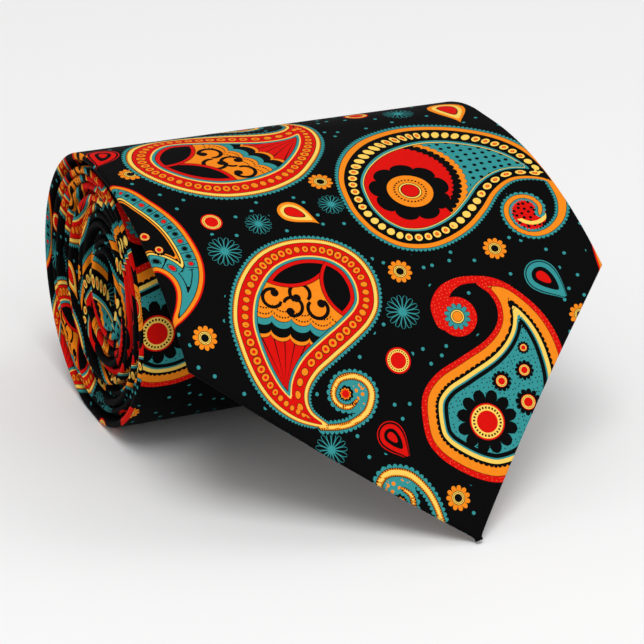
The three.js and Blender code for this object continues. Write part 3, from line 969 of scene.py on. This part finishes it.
def paint_details(recipe, below, small):
    """What lies on the big motifs: the roses, and the disc on the leaf's curl."""
    x, y, kind = recipe.split(small)
    colour = below
    plain = ring_of(recipe, x, y)
    radius = plain["Radius"]

    # The great rose: black petals, an orange ring with dots and a red middle.
    petals = ring_of(recipe, x, y, 9, 0.17)["Radius"]
    rose = recipe.stripes(radius, [(0, RED), (0.21, BLACK), (0.23, YELLOW), (0.27, BLACK), (0.29, ORANGE),
                                   (0.56, BLACK)])
    rose = recipe.paint(dotted_ring(recipe, plain, 0.36, 0.41, 28, 0.26), rose, DARK)
    mask = recipe.is_kind(kind, SMALL["great_rose"]) & (petals < 1.0)
    colour = recipe.paint(mask, colour, rose)

    # A dark rose: black petals, a dotted yellow ring and a red middle.
    petals = ring_of(recipe, x, y, 12, 0.3)["Radius"]
    rose = recipe.stripes(radius, [(0, RED), (0.34, YELLOW), (0.52, RED), (0.57, BLACK)])
    rose = recipe.paint(dotted_ring(recipe, plain, 0.4, 0.47, 26, 0.26), rose, DARK)
    mask = recipe.is_kind(kind, SMALL["dark_rose"]) & (petals < 1.0)
    colour = recipe.paint(mask, colour, rose)

    # The red disc with its speckle, and the teal flower on it.
    mask = recipe.is_kind(kind, SMALL["red_disc"]) & (radius < 1.0)
    speckled = recipe.paint(recipe.dots(x, y, 0.2, 0.028), RED, SPECKLE)
    petals = ring_of(recipe, x, y, 12, 0.2)["Radius"]
    bloom = recipe.stripes(radius, [(0, ORANGE), (0.24, DARK), (0.27, YELLOW), (0.33, DARK), (0.37, TEAL)])
    veins = (ring_of(recipe, x, y, 12, 0.32)["Radius"] > 0.67) & (radius > 0.38)
    bloom = recipe.paint(veins, bloom, DARK)
    speckled = recipe.paint(petals < 0.68, speckled, bloom)
    colour = recipe.paint(mask, colour, speckled)
    return colour


def paint_eyes(recipe, below, small):
    """The filled middles of the curls, which lie under the curls' own lines."""
    x, y, kind = recipe.split(small)
    radius = ring_of(recipe, x, y)["Radius"]
    disc_gap = ring_of(recipe, x + 0.45, y - 0.12, 9, 0.1)["Radius"]
    eye = recipe.stripes(disc_gap, [(0, RED), (0.24, ORANGE), (0.3, BLACK), (0.45, TEAL)], (0, 1.5))
    dots = recipe.dots(x, y, 0.34, 0.1) & (x > 0.1)
    eye = recipe.paint(dots, eye, ORANGE)
    mask = recipe.is_kind(kind, SMALL["teal_eye"]) & (radius < 1.0)
    colour = recipe.paint(mask, below, eye)
    red_eye = recipe.paint(recipe.dots(x, y, 0.3, 0.085), RED, BLACK)
    moon = recipe.length(x - 0.25, y - 0.25)
    crescent = (moon < 0.98) & (moon > 0.76) & (y + 0.2 < 0.0)
    red_eye = recipe.paint(crescent, red_eye, YELLOW)
    mask = recipe.is_kind(kind, SMALL["red_eye"]) & (radius < 1.0)
    return recipe.paint(mask, colour, red_eye)


def arch_at(recipe, along, period):
    """The height, 0 to 1, of a row of arches at a length along it."""
    return recipe.call(ARCHES, along=along, period=period)["Arch"]


def scroll_mask(recipe, x, y, middle, lean, reach, hand):
    """An S of two open rings that touch in the middle, each with a blob at its inner end."""
    angle = math.radians(lean)
    across, up = x - middle[0], y - middle[1]
    along = across * (math.cos(angle) / reach) + up * (math.sin(angle) / reach)
    aside = up * (hand * math.cos(angle) / reach) - across * (hand * math.sin(angle) / reach)
    half = recipe.math("SIGN", along)
    ring_x = 0.45 - abs(along)
    ring_y = aside * half * -1.0
    plain = ring_of(recipe, ring_x, ring_y)
    edge = abs(plain["Radius"] - 0.4)
    gap = (plain["Turn"] < 0.0) & (plain["Turn"] > -1.5)
    ring = (edge < 0.075) & (1.0 - gap)
    blob = recipe.length(ring_x - 0.03, ring_y - -0.26)
    return ring | (blob < 0.17)


def spoon_inside(recipe, x, y, depth):
    """Inside the spoon: two lenses, an orange field with two scrolls, waves and a fan of red rays."""
    lean = math.radians(-115.5)
    across, up = x + 22.0, y - 59.0
    down = across * math.cos(lean) + up * math.sin(lean)
    side = across * -math.sin(lean) - up * -math.cos(lean)
    row = down - arch_at(recipe, side + 1.4, 4.3) * 1.35
    colours = [(-20, ORANGE), (3.35, DARK), (3.5, TEAL), (5.0, BLACK), (6.9, ORANGE), (7.7, DARK), (7.9, RED)]
    colour = recipe.stripes(row, colours, (-20, 20))
    beat = recipe.off_beat(side / 0.62) < 0.3
    for low_row in (0.95, 2.35):
        dotted_row = (row > low_row) & (row < low_row + 0.34) & beat
        colour = recipe.paint(dotted_row, colour, DARK)
    for middle, lean, reach, hand in (((-25.4, 60.3), -38, 5.3, -1), ((-19.5, 59.2), -58, 5.6, 1)):
        colour = recipe.paint(scroll_mask(recipe, x, y, middle, lean, reach, hand), colour, DARK)
    turn = recipe.math("ARCTAN2", y - 42.5, x + 31.3)
    part = recipe.off_beat(turn * 4.4)
    colour = recipe.paint((row > 8.0) & (part < 0.055), colour, DARK)
    for centre, size in (((-19.6, 74.1), 11.2), ((-6.8, 60.3), 8.8)):
        gap = recipe.length(x - centre[0], y - centre[1])
        lens = recipe.stripes(gap, [(0, BLACK), (size - 0.75, RED), (size, DARK)], (0, 20))
        colour = recipe.paint(gap < size + 0.18, colour, lens)
        rim = (gap < size) & (depth < 6.4)
        colour = recipe.paint(rim, colour, RED)
    return colour


def drop_inside(recipe, x, y):
    """Inside the drop: a red field with toothed edges, then dark, orange and teal."""
    across, up = x - 13.4, y - 86.2
    gap = recipe.length(across, up)
    turn = recipe.math("ARCTAN2", up, across)
    tooth = arch_at(recipe, turn, 0.115) * 0.75
    colours = [(0, RED), (12.9, BLACK), (14.9, ORANGE), (16.2, DARK), (16.4, TEAL)]
    colour = recipe.stripes(gap - tooth, colours, (0, 30))
    ahead = across * 0.97 + up * 0.26
    colour = recipe.paint(ahead < 4.5, colour, RED)
    spots = recipe.dots(x, y, 2.1, 0.5, 0.25) & (gap > 17.6)
    return recipe.paint(spots, colour, BLACK)


def paint_bands(recipe, below, band, field):
    """The big motifs: bands of colour by depth from the edge, and what lies inside them."""
    depth, along, kind = recipe.split(band)
    x, y, _ = recipe.split(field)
    colour = below
    frill = arch_at(recipe, along, 1.0) * -0.78

    def beads(name, centre, radius, length):
        made = recipe.call(BEADS, depth=depth, along=along, centre=centre, period=BEAD_PERIOD[name],
                           radius=radius, length=length)
        return made["Distance"]

    # Spoon: teal frill, yellow rim with fine hatching, red band with orange beads.
    sway = recipe.math("SINE", along * 0.21)
    colours = [(-2, TEAL), (-0.06, DARK), (0.1, ORANGE), (0.36, YELLOW), (1.08, DARK),
               (1.22, RED), (4.55, YELLOW), (4.85, TEAL), (5.45, DARK), (5.6, BLACK)]
    spoon = recipe.stripes(depth, colours, BAND_SPAN)
    hatch = recipe.math("FRACT", along / 0.47 + depth * 1.2)
    hatched = (hatch < 0.42) & (depth > 0.08) & (depth < 0.36)
    spoon = recipe.paint(hatched, spoon, DARK)
    bead_size = 0.86 + sway * 0.12
    bead = beads("spoon", 2.85, bead_size, bead_size)
    bead_colour = recipe.stripes(bead, [(0, ORANGE), (0.95, DARK), (1.13, RED)], BEAD_SPAN)
    bead_heart = (bead < 0.42) & (sway > -0.35)
    bead_colour = recipe.paint(bead_heart, bead_colour, RED)
    spoon = recipe.paint(bead < 1.13, spoon, bead_colour)
    spoon = recipe.paint(depth > 5.6, spoon, spoon_inside(recipe, x, y, depth))
    on_spoon = recipe.is_kind(kind, KIND["spoon"]) & (depth > frill)
    colour = recipe.paint(on_spoon, colour, spoon)

    # Drop: teal frill, orange rim, black band with yellow beads.
    colours = [(-2, TEAL), (-0.06, DARK), (0.08, ORANGE), (1.15, DARK), (1.3, BLACK),
               (4.75, TEAL), (5.25, YELLOW), (5.42, DARK), (5.6, BLACK)]
    drop = recipe.stripes(depth, colours, BAND_SPAN)
    bead = beads("drop", 3.0, 0.95, 1.08)
    bead_colour = recipe.stripes(bead, [(0, YELLOW), (1.0, BLACK)], BEAD_SPAN)
    bead_colour = recipe.paint((bead < 0.5) & (sway > -0.1), bead_colour, RED)
    bead_colour = recipe.paint((bead < 0.28) & (sway > -0.1), bead_colour, ORANGE)
    drop = recipe.paint(bead < 1.0, drop, bead_colour)
    drop = recipe.paint(depth > 5.6, drop, drop_inside(recipe, x, y))
    on_drop = recipe.is_kind(kind, KIND["drop"]) & (depth > frill)
    colour = recipe.paint(on_drop, colour, drop)

    # Leaf: speckled red rim, orange with black arches, a yellow line, teal with tiny dots.
    inner = depth + arch_at(recipe, along, BEAD_PERIOD["leaf"]) * 0.42
    colours = [(-2, RED), (1.12, DARK), (1.22, ORANGE), (3.3, BLACK), (3.5, YELLOW), (4.3, TEAL),
               (4.65, BLACK), (5.5, TEAL)]
    leaf = recipe.stripes(depth, colours, BAND_SPAN)
    leaf = recipe.paint((inner > 3.2) & (depth < 3.45), leaf, BLACK)
    speckle = recipe.dots(x, y, 0.9, 0.13) & (depth < 1.1)
    leaf = recipe.paint(speckle, leaf, SPECKLE)
    tiny = recipe.dots(x, y, 1.05, 0.15) & (depth > 5.6)
    leaf = recipe.paint(tiny, leaf, BLACK)
    on_leaf = recipe.is_kind(kind, KIND["leaf"]) & (depth > 0.0)
    colour = recipe.paint(on_leaf, colour, leaf)

    # Band: an orange rim, teal cells with dots, yellow and orange lines round a dark field.
    colours = [(-2, RED), (0.35, ORANGE), (1.15, DARK), (1.35, TEAL), (4.1, DARK), (4.3, YELLOW),
               (4.75, DARK), (5.0, ORANGE), (5.35, BLACK)]
    cells = recipe.stripes(depth, colours, BAND_SPAN)
    bead = beads("band", 2.7, 0.78, 0.78)
    bar = recipe.off_beat(along / BEAD_PERIOD["band"] + 0.5)
    in_tail = y < 72.0
    in_row = (depth > 1.35) & (depth < 4.1)
    tail_line = abs(depth - 2.75) < 0.12
    cells = recipe.paint(in_row & in_tail & tail_line, cells, DARK)
    on_cells = in_row & (1.0 - in_tail)
    cells = recipe.paint(on_cells & (bar < 0.045), cells, DARK)
    bead_colour = recipe.stripes(bead, [(0, BLACK), (0.75, TEAL), (0.85, DARK)], BEAD_SPAN)
    every_third = recipe.math("FRACT", along / (3 * BEAD_PERIOD["band"])) < 1 / 3
    bead_colour = recipe.paint((bead < 0.7) & every_third, bead_colour, RED)
    cells = recipe.paint(on_cells & (bead < 1.0), cells, bead_colour)
    on_band = recipe.is_kind(kind, KIND["band"]) & (depth > 0.0)
    return recipe.paint(on_band, colour, cells)


def build_printed_cloth():
    """Black cloth with the whole print, and a fine weave that shades it and stands out a little."""
    paint = bpy.data.materials.new("printed_silk")
    paint.use_nodes = True
    recipe = Recipe(paint.node_tree)
    shader = paint.node_tree.nodes["Principled BSDF"]
    flat = recipe.node("ShaderNodeUVMap", uv_map="flat_cloth").outputs[0]
    place_at = recipe.in_millimetres(flat)
    across, up, _ = recipe.split(place_at)
    band, field, small = (recipe.attribute(name) for name in ("band", "field", "small"))
    depth = recipe.split(band)[0]
    outside = depth < -0.9
    small_x, small_y, _ = recipe.split(small)
    clear_of_small = ring_of(recipe, small_x, small_y)["Radius"] > 1.25
    spots = recipe.dots(across, up, 5.2, 0.42, 0.9) & (depth < -1.7) & clear_of_small
    colour = recipe.paint(spots, BLACK, TEAL)
    colour = paint_small(recipe, colour, small, outside)
    colour = paint_eyes(recipe, colour, small)
    colour = paint_bands(recipe, colour, band, field)
    colour = paint_details(recipe, colour, small)
    woven = recipe.call(WEAVE, place=place_at, pitch=0.42)
    tone = recipe.node("ShaderNodeMapRange")
    recipe.fill(tone, {"Value": woven["Shade"], "To Min": 0.86, "To Max": 1.1})
    shaded = recipe.node("ShaderNodeVectorMath", operation="SCALE")
    recipe.fill(shaded, {"Vector": colour, "Scale": tone.outputs[0]})
    bump = recipe.node("ShaderNodeBump")
    recipe.fill(bump, {"Strength": 0.25, "Distance": 0.06 * MM, "Height": woven["Height"]})
    recipe.fill(shader, {"Base Color": shaded.outputs[0], "Normal": bump.outputs[0], "Roughness": 0.7,
                         "Specular IOR Level": 0.02, "Sheen Weight": 0.006, "Sheen Roughness": 0.4})
    return paint


FINE, MIDDLING, COARSE = 0.75, 1.0, 1.8  # millimetres from one row of the mesh to the next
CLOSE_UNTIL = 345.0  # a little past the roll's first turn; up to here the rows are closer
UNDERSIDE = FREE_LENGTH + math.pi * (ROLL_RADIUS - THICKNESS / 2)  # where the first turn meets the floor

blade_cloth = folded_shell("blade_cloth", spread(0.0, UNDERSIDE, FINE), 130, 14)
close_rows = spread(UNDERSIDE, CLOSE_UNTIL, MIDDLING)
rolled_rows = np.concatenate([close_rows, spread(CLOSE_UNTIL, BLADE_SEAM, COARSE)[1:]])
rolled_cloth = folded_shell("rolled_blade_cloth", rolled_rows, 110, 14)
neck_cloth = folded_shell("neck_cloth", spread(BLADE_SEAM, TAIL_SEAM, COARSE), 50, 10)
tail_cloth = folded_shell("tail_cloth", spread(TAIL_SEAM, TIE_LENGTH, COARSE), 50, 10)

PRINTED = build_printed_cloth()
for piece in (blade_cloth, rolled_cloth, neck_cloth, tail_cloth):
    piece.data.materials.append(PRINTED)

# ---- Inside the fold: wool interlining and satin tipping -------------------------------------------------
def inner_strip(name, low, high, inset, top, thickness, step=2.2, across=14):
    """A layer inside the fold, which follows the tie's width and stops short of its edges."""
    v = spread(low, high, step)
    return strip(name, v, np.maximum(0.6, half_width(v) - inset), top, thickness, across)


WOOL_START, SATIN_START = 3.0, 2.5
INSIDE_END = TIE_LENGTH - 4.0  # the wool and the tail's satin end here
# How far each layer stops short of the folded edge, the depth of its top and its thickness.
WOOL_LAYER = (1.5, INTERLINING_TOP, INTERLINING)
SATIN_LAYER = (2.5, TIPPING_TOP, TIPPING)
blade_interlining = inner_strip("blade_interlining", WOOL_START, UNDERSIDE - 0.3, *WOOL_LAYER)
rolled_interlining = inner_strip("rolled_interlining", UNDERSIDE + 0.3, INSIDE_END, *WOOL_LAYER,
                                 step=2.6, across=8)
blade_lining = inner_strip("blade_lining", SATIN_START, BLADE_TIPPING_REACH, *SATIN_LAYER, across=24)
tail_lining = inner_strip("tail_lining", TIE_LENGTH - TAIL_TIPPING_REACH, INSIDE_END, *SATIN_LAYER)

# ---- On the back: label, keeper loop and care tag -------------------------------------------------------
BACK_FACE = THICKNESS + 0.06
LABEL_LOW, LABEL_HIGH, LABEL_WIDTH = 143.0, 165.0, 56.0
LOOP_LOW, LOOP_HIGH, LOOP_WIDTH = 179.0, 191.0, 60.0
TAG_LOW, TAG_HIGH, TAG_WIDTH = 191.3, 207.3, 14.0


def back_band(name, low, high, width, thickness):
    """A band laid straight across the back of the tie."""
    v = spread(low, high, 1.0)
    return strip(name, v, np.full(len(v), width / 2), BACK_FACE, thickness, across=24)


blank_label = back_band("blank_woven_label", LABEL_LOW, LABEL_HIGH, LABEL_WIDTH, 0.3)
tie_keeper = back_band("keeper_band", LOOP_LOW, LOOP_HIGH, LOOP_WIDTH, 0.6)
small_tag = back_band("blank_care_tag", TAG_LOW, TAG_HIGH, TAG_WIDTH, 0.16)


# ---- Sewing: short threads laid in rows by a node tree ---------------------------------------------------
def build_stitch_tree():
    """Lays one bent thread on every point, along the point's direction and standing out of the cloth."""
    tree = bpy.data.node_groups.new("laid_stitches", "GeometryNodeTree")
    sockets = (("Points", "Geometry"), ("Length", "Float"), ("Rise", "Float"), ("Thread radius", "Float"),
               ("Thread", "Material"))
    for label, kind in sockets:
        tree.interface.new_socket(label, in_out="INPUT", socket_type="NodeSocket" + kind)
    tree.interface.new_socket("Stitches", in_out="OUTPUT", socket_type="NodeSocketGeometry")
    nodes, links = tree.nodes, tree.links
    given = nodes.new("NodeGroupInput").outputs
    bow = nodes.new("GeometryNodeCurveQuadraticBezier")
    bow.inputs["Resolution"].default_value = 6
    for label, share, axis in (("Start", -0.5, "X"), ("Middle", 1.0, "Z"), ("End", 0.5, "X")):
        part = nodes.new("ShaderNodeMath")
        part.operation = "MULTIPLY"
        links.new(given["Rise" if axis == "Z" else "Length"], part.inputs[0])
        part.inputs[1].default_value = share
        corner = nodes.new("ShaderNodeCombineXYZ")
        links.new(part.outputs[0], corner.inputs[axis])
        links.new(corner.outputs[0], bow.inputs[label])
    ring = nodes.new("GeometryNodeCurvePrimitiveCircle")
    ring.inputs["Resolution"].default_value = 6
    links.new(given["Thread radius"], ring.inputs["Radius"])
    thread = nodes.new("GeometryNodeCurveToMesh")
    thread.inputs["Fill Caps"].default_value = True
    links.new(bow.outputs[0], thread.inputs["Curve"])
    links.new(ring.outputs[0], thread.inputs["Profile Curve"])
    facing = nodes.new("FunctionNodeAxesToRotation")
    facing.primary_axis = "Z"
    facing.secondary_axis = "X"
    for label, socket in (("out", "Primary Axis"), ("along", "Secondary Axis")):
        read = nodes.new("GeometryNodeInputNamedAttribute")
        read.data_type = "FLOAT_VECTOR"
        read.inputs["Name"].default_value = label
        links.new(read.outputs[0], facing.inputs[socket])
    lay = nodes.new("GeometryNodeInstanceOnPoints")
    links.new(given["Points"], lay.inputs["Points"])
    links.new(thread.outputs[0], lay.inputs["Instance"])
    links.new(facing.outputs[0], lay.inputs["Rotation"])
    real = nodes.new("GeometryNodeRealizeInstances")
    links.new(lay.outputs[0], real.inputs[0])
    dye = nodes.new("GeometryNodeSetMaterial")
    links.new(real.outputs[0], dye.inputs["Geometry"])
    links.new(given["Thread"], dye.inputs["Material"])
    links.new(dye.outputs[0], nodes.new("NodeGroupOutput").inputs[0])
    return tree


STITCH_TREE = build_stitch_tree()


def sew(name, v, u, depth, lean, length, rise, radius, thread):
    """A row of stitches on the cloth; lean is how far each slants off the tie's length, in radians."""
    here = place(v, u, depth)
    ahead = place(v + 0.2, u, depth) - here
    ahead /= np.linalg.norm(ahead, axis=1)[:, None]
    out = place(v, u, depth + 0.2) - here
    out /= np.linalg.norm(out, axis=1)[:, None]
    side = np.cross(out, ahead)
    along = ahead * np.cos(lean)[:, None] + side * np.sin(lean)[:, None]
    mesh = bpy.data.meshes.new(name + "_points")
    mesh.from_pydata((here * MM).tolist(), [], [])
    for label, rows in (("out", out), ("along", along)):
        layer = mesh.attributes.new(label, "FLOAT_VECTOR", "POINT")
        layer.data.foreach_set("vector", rows.astype(np.float32).ravel())
    carrier = bpy.data.objects.new(name + "_points", mesh)
    bpy.context.scene.collection.objects.link(carrier)
    modifier = carrier.modifiers.new("sewing", "NODES")
    modifier.node_group = STITCH_TREE
    values = {"Length": length * MM, "Rise": rise * MM, "Thread radius": radius * MM, "Thread": thread}
    for item in STITCH_TREE.interface.items_tree:
        if item.in_out == "INPUT" and item.name in values:
            modifier[item.identifier] = values[item.name]
    made = bpy.data.meshes.new_from_object(carrier.evaluated_get(bpy.context.evaluated_depsgraph_get()))
    made.name = name
    bpy.data.objects.remove(carrier)
    piece = bpy.data.objects.new(name, made)
    bpy.context.scene.collection.objects.link(piece)
    made.shade_smooth()
    return piece


# ---- Plain finishes --------------------------------------------------------------------------------------
def woven_finish(name, colour, second, pitch, roughness, sheen, bump_depth, fuzz=0.0, use_flat=True):
    """Plain cloth or thread: two tones of one colour in a fine weave."""
    paint = bpy.data.materials.new(name)
    paint.use_nodes = True
    recipe = Recipe(paint.node_tree)
    shader = paint.node_tree.nodes["Principled BSDF"]
    if use_flat:
        source = recipe.node("ShaderNodeUVMap", uv_map="flat_cloth").outputs[0]
    else:
        source = recipe.node("ShaderNodeTexCoord").outputs["Object"]
    place_at = recipe.in_millimetres(source)
    woven = recipe.call(WEAVE, place=place_at, pitch=pitch)
    share = recipe.math("MULTIPLY", woven["Shade"], 0.9, clamp=True)
    height = woven["Height"]
    if fuzz:
        fibres = recipe.node("ShaderNodeTexNoise")
        recipe.fill(fibres, {"Vector": place_at, "Scale": 3.5, "Detail": 6})
        height = height + Number(recipe, fibres.outputs[0]) * fuzz
    bump = recipe.node("ShaderNodeBump")
    recipe.fill(bump, {"Strength": 0.5, "Distance": bump_depth * MM, "Height": height})
    recipe.fill(shader, {"Base Color": recipe.paint(share, colour, second), "Normal": bump.outputs[0],
                         "Roughness": roughness, "Specular IOR Level": 0.25, "Sheen Weight": sheen})
    return paint


WOOL = woven_finish("brushed_wool", (206, 198, 180), (236, 230, 214), 0.9, 0.95, 0.3, 0.15, fuzz=1.4)
SATIN = woven_finish("black_satin_lining", (14, 14, 16), (34, 34, 38), 0.3, 0.42, 0.1, 0.03)
THREAD = woven_finish("spun_black_thread", (14, 14, 15), (46, 46, 50), 0.25, 0.6, 0.3, 0.05, use_flat=False)
RIBBON = woven_finish("woven_ribbon", (22, 22, 25), (52, 52, 58), 0.5, 0.55, 0.15, 0.06)
TAG_CLOTH = woven_finish("tag_tape", (222, 220, 214), (246, 245, 240), 0.4, 0.7, 0.1, 0.04)

FINISHES = [
    (blade_interlining, WOOL), (rolled_interlining, WOOL), (blade_lining, SATIN), (tail_lining, SATIN),
    (blank_label, RIBBON), (tie_keeper, RIBBON), (small_tag, TAG_CLOTH),
]
for piece, finish in FINISHES:
    piece.data.materials.append(finish)


SLIP_PITCH, HEM_PITCH, END_PITCH = 5.2, 5.0, 1.4  # millimetres from one stitch to the next


def slip_stitches(name, low, high):
    """Long hidden stitches that lace the two folded edges together, leaning left and right in turn."""
    v = np.arange(low, high, SLIP_PITCH)
    lean = np.where(np.arange(len(v)) % 2 == 0, 0.32, -0.32)
    return sew(name, v, np.zeros(len(v)), THICKNESS - 0.02, lean, SLIP_PITCH * 0.94, 0.42, 0.14, THREAD)


def hem_stitches(name, low, high):
    """Short stitches that hold the folded hem's edge down on the lining, on both sides."""
    v = np.arange(low, high, HEM_PITCH)
    v = np.concatenate([v, v])
    side = np.repeat([-1.0, 1.0], len(v) // 2)
    u = side * (lip_half_gap(v) - 0.15)
    slope = np.arctan2(lip_half_gap(v + 0.5) - lip_half_gap(v - 0.5), 1.0)
    return sew(name, v, u, THICKNESS - 0.03, side * (slope + 0.5), 2.1, 0.5, 0.11, THREAD)


def bar_tack(name, v_middle, width):
    """A dense bar of thread straight across the seam's end."""
    count = 15
    spots = np.linspace(-width / 2, width / 2, count)
    v = np.full(count, v_middle)
    lean = np.where(np.arange(count) % 2 == 0, 0.12, -0.12)
    return sew(name, v, spots, THICKNESS + 0.01, lean, 2.6, 0.5, 0.16, THREAD)


def end_stitches(name, low, high, width, depth):
    """Rows of short stitches down both short ends of a band."""
    v = np.arange(low + 0.8, high - 0.4, END_PITCH)
    v = np.concatenate([v, v])
    u = np.repeat([-width / 2 + 1.1, width / 2 - 1.1], len(v) // 2)
    return sew(name, v, u, depth, np.zeros(len(v)), END_PITCH * 0.8, 0.22, 0.09, THREAD)


SEAM_END = TIE_LENGTH - TAIL_SEAM_START
seam_stitches = slip_stitches("seam_slip_stitches", BLADE_SEAM_START + 4, SEAM_END - 3)
hem_sewing = hem_stitches("blade_hem_stitches", HEM_OPEN_END, BLADE_SEAM_START - 8)
tail_hem_sewing = hem_stitches("tail_hem_stitches", SEAM_END + 5, TIE_LENGTH - HEM_OPEN_END)
blade_tack = bar_tack("blade_bar_stitches", BLADE_SEAM_START + 1.5, 5.0)
tail_tack = bar_tack("tail_bar_stitches", SEAM_END - 1.5, 3.6)
label_sewing = end_stitches("label_stitches", LABEL_LOW, LABEL_HIGH, LABEL_WIDTH, BACK_FACE + 0.3)
keeper_sewing = end_stitches("keeper_stitches", LOOP_LOW, LOOP_HIGH, LOOP_WIDTH, BACK_FACE + 0.6)


# ---- Riding bodies and the areas of the flat cloth ------------------------------------------------------
for piece in (blade_cloth, blade_interlining, blade_lining):
    across_hinge(piece)
dress(blade_cloth, ["blade_tip_shell"], body=None)
dress(blade_interlining, ["blade_tip_interlining"], body=None)
dress(blade_lining, ["blade_tip_tipping", "blade_tipping"], body=None)
dress(rolled_cloth, ["blade_shell"])
dress(neck_cloth, ["neck_shell"])
dress(tail_cloth, ["tail_shell"])
dress(rolled_interlining, ["interlining"])
dress(tail_lining, ["tail_tipping"])
dress(blank_label, ["woven_label"])
dress(tie_keeper, ["keeper_loop"])
dress(small_tag, ["care_tag"])
dress(seam_stitches, ["slip_stitch_thread"])
dress(blade_tack, ["blade_bar_tack"])
dress(tail_tack, ["tail_bar_tack"])
across_hinge(hem_sewing)
dress(hem_sewing, [], body=None)
dress(tail_hem_sewing, [])
dress(label_sewing, [])
dress(keeper_sewing, [])


def declare(low, high, width_at):
    """Works out how big the flat cloth of a piece is, from the tie's own pattern; the area is not kept."""
    v = spread(low, high, 1.0)
    widths = width_at(v)
    area = float(np.trapz(widths, v)) * MM * MM


def shell_width(v):
    """The printed cloth is cut about twice as wide as the tie, less the open part of its back."""
    return 4 * half_width(v) - 2 * lip_half_gap(v)


def lined_width(layer):
    return lambda v: 2 * np.maximum(0.6, half_width(v) - layer[0])


def band_width(width):
    return lambda v: np.full(len(v), width)


declare(0, UNDERSIDE, shell_width)
declare(UNDERSIDE, BLADE_SEAM, shell_width)
declare(BLADE_SEAM, TAIL_SEAM, shell_width)
declare(TAIL_SEAM, TIE_LENGTH, shell_width)
declare(WOOL_START, UNDERSIDE, lined_width(WOOL_LAYER))
declare(UNDERSIDE, INSIDE_END, lined_width(WOOL_LAYER))
declare(SATIN_START, BLADE_TIPPING_REACH, lined_width(SATIN_LAYER))
declare(TIE_LENGTH - TAIL_TIPPING_REACH, INSIDE_END, lined_width(SATIN_LAYER))
declare(LABEL_LOW, LABEL_HIGH, band_width(LABEL_WIDTH))
declare(LOOP_LOW, LOOP_HIGH, band_width(LOOP_WIDTH))
declare(TAG_LOW, TAG_HIGH, band_width(TAG_WIDTH))
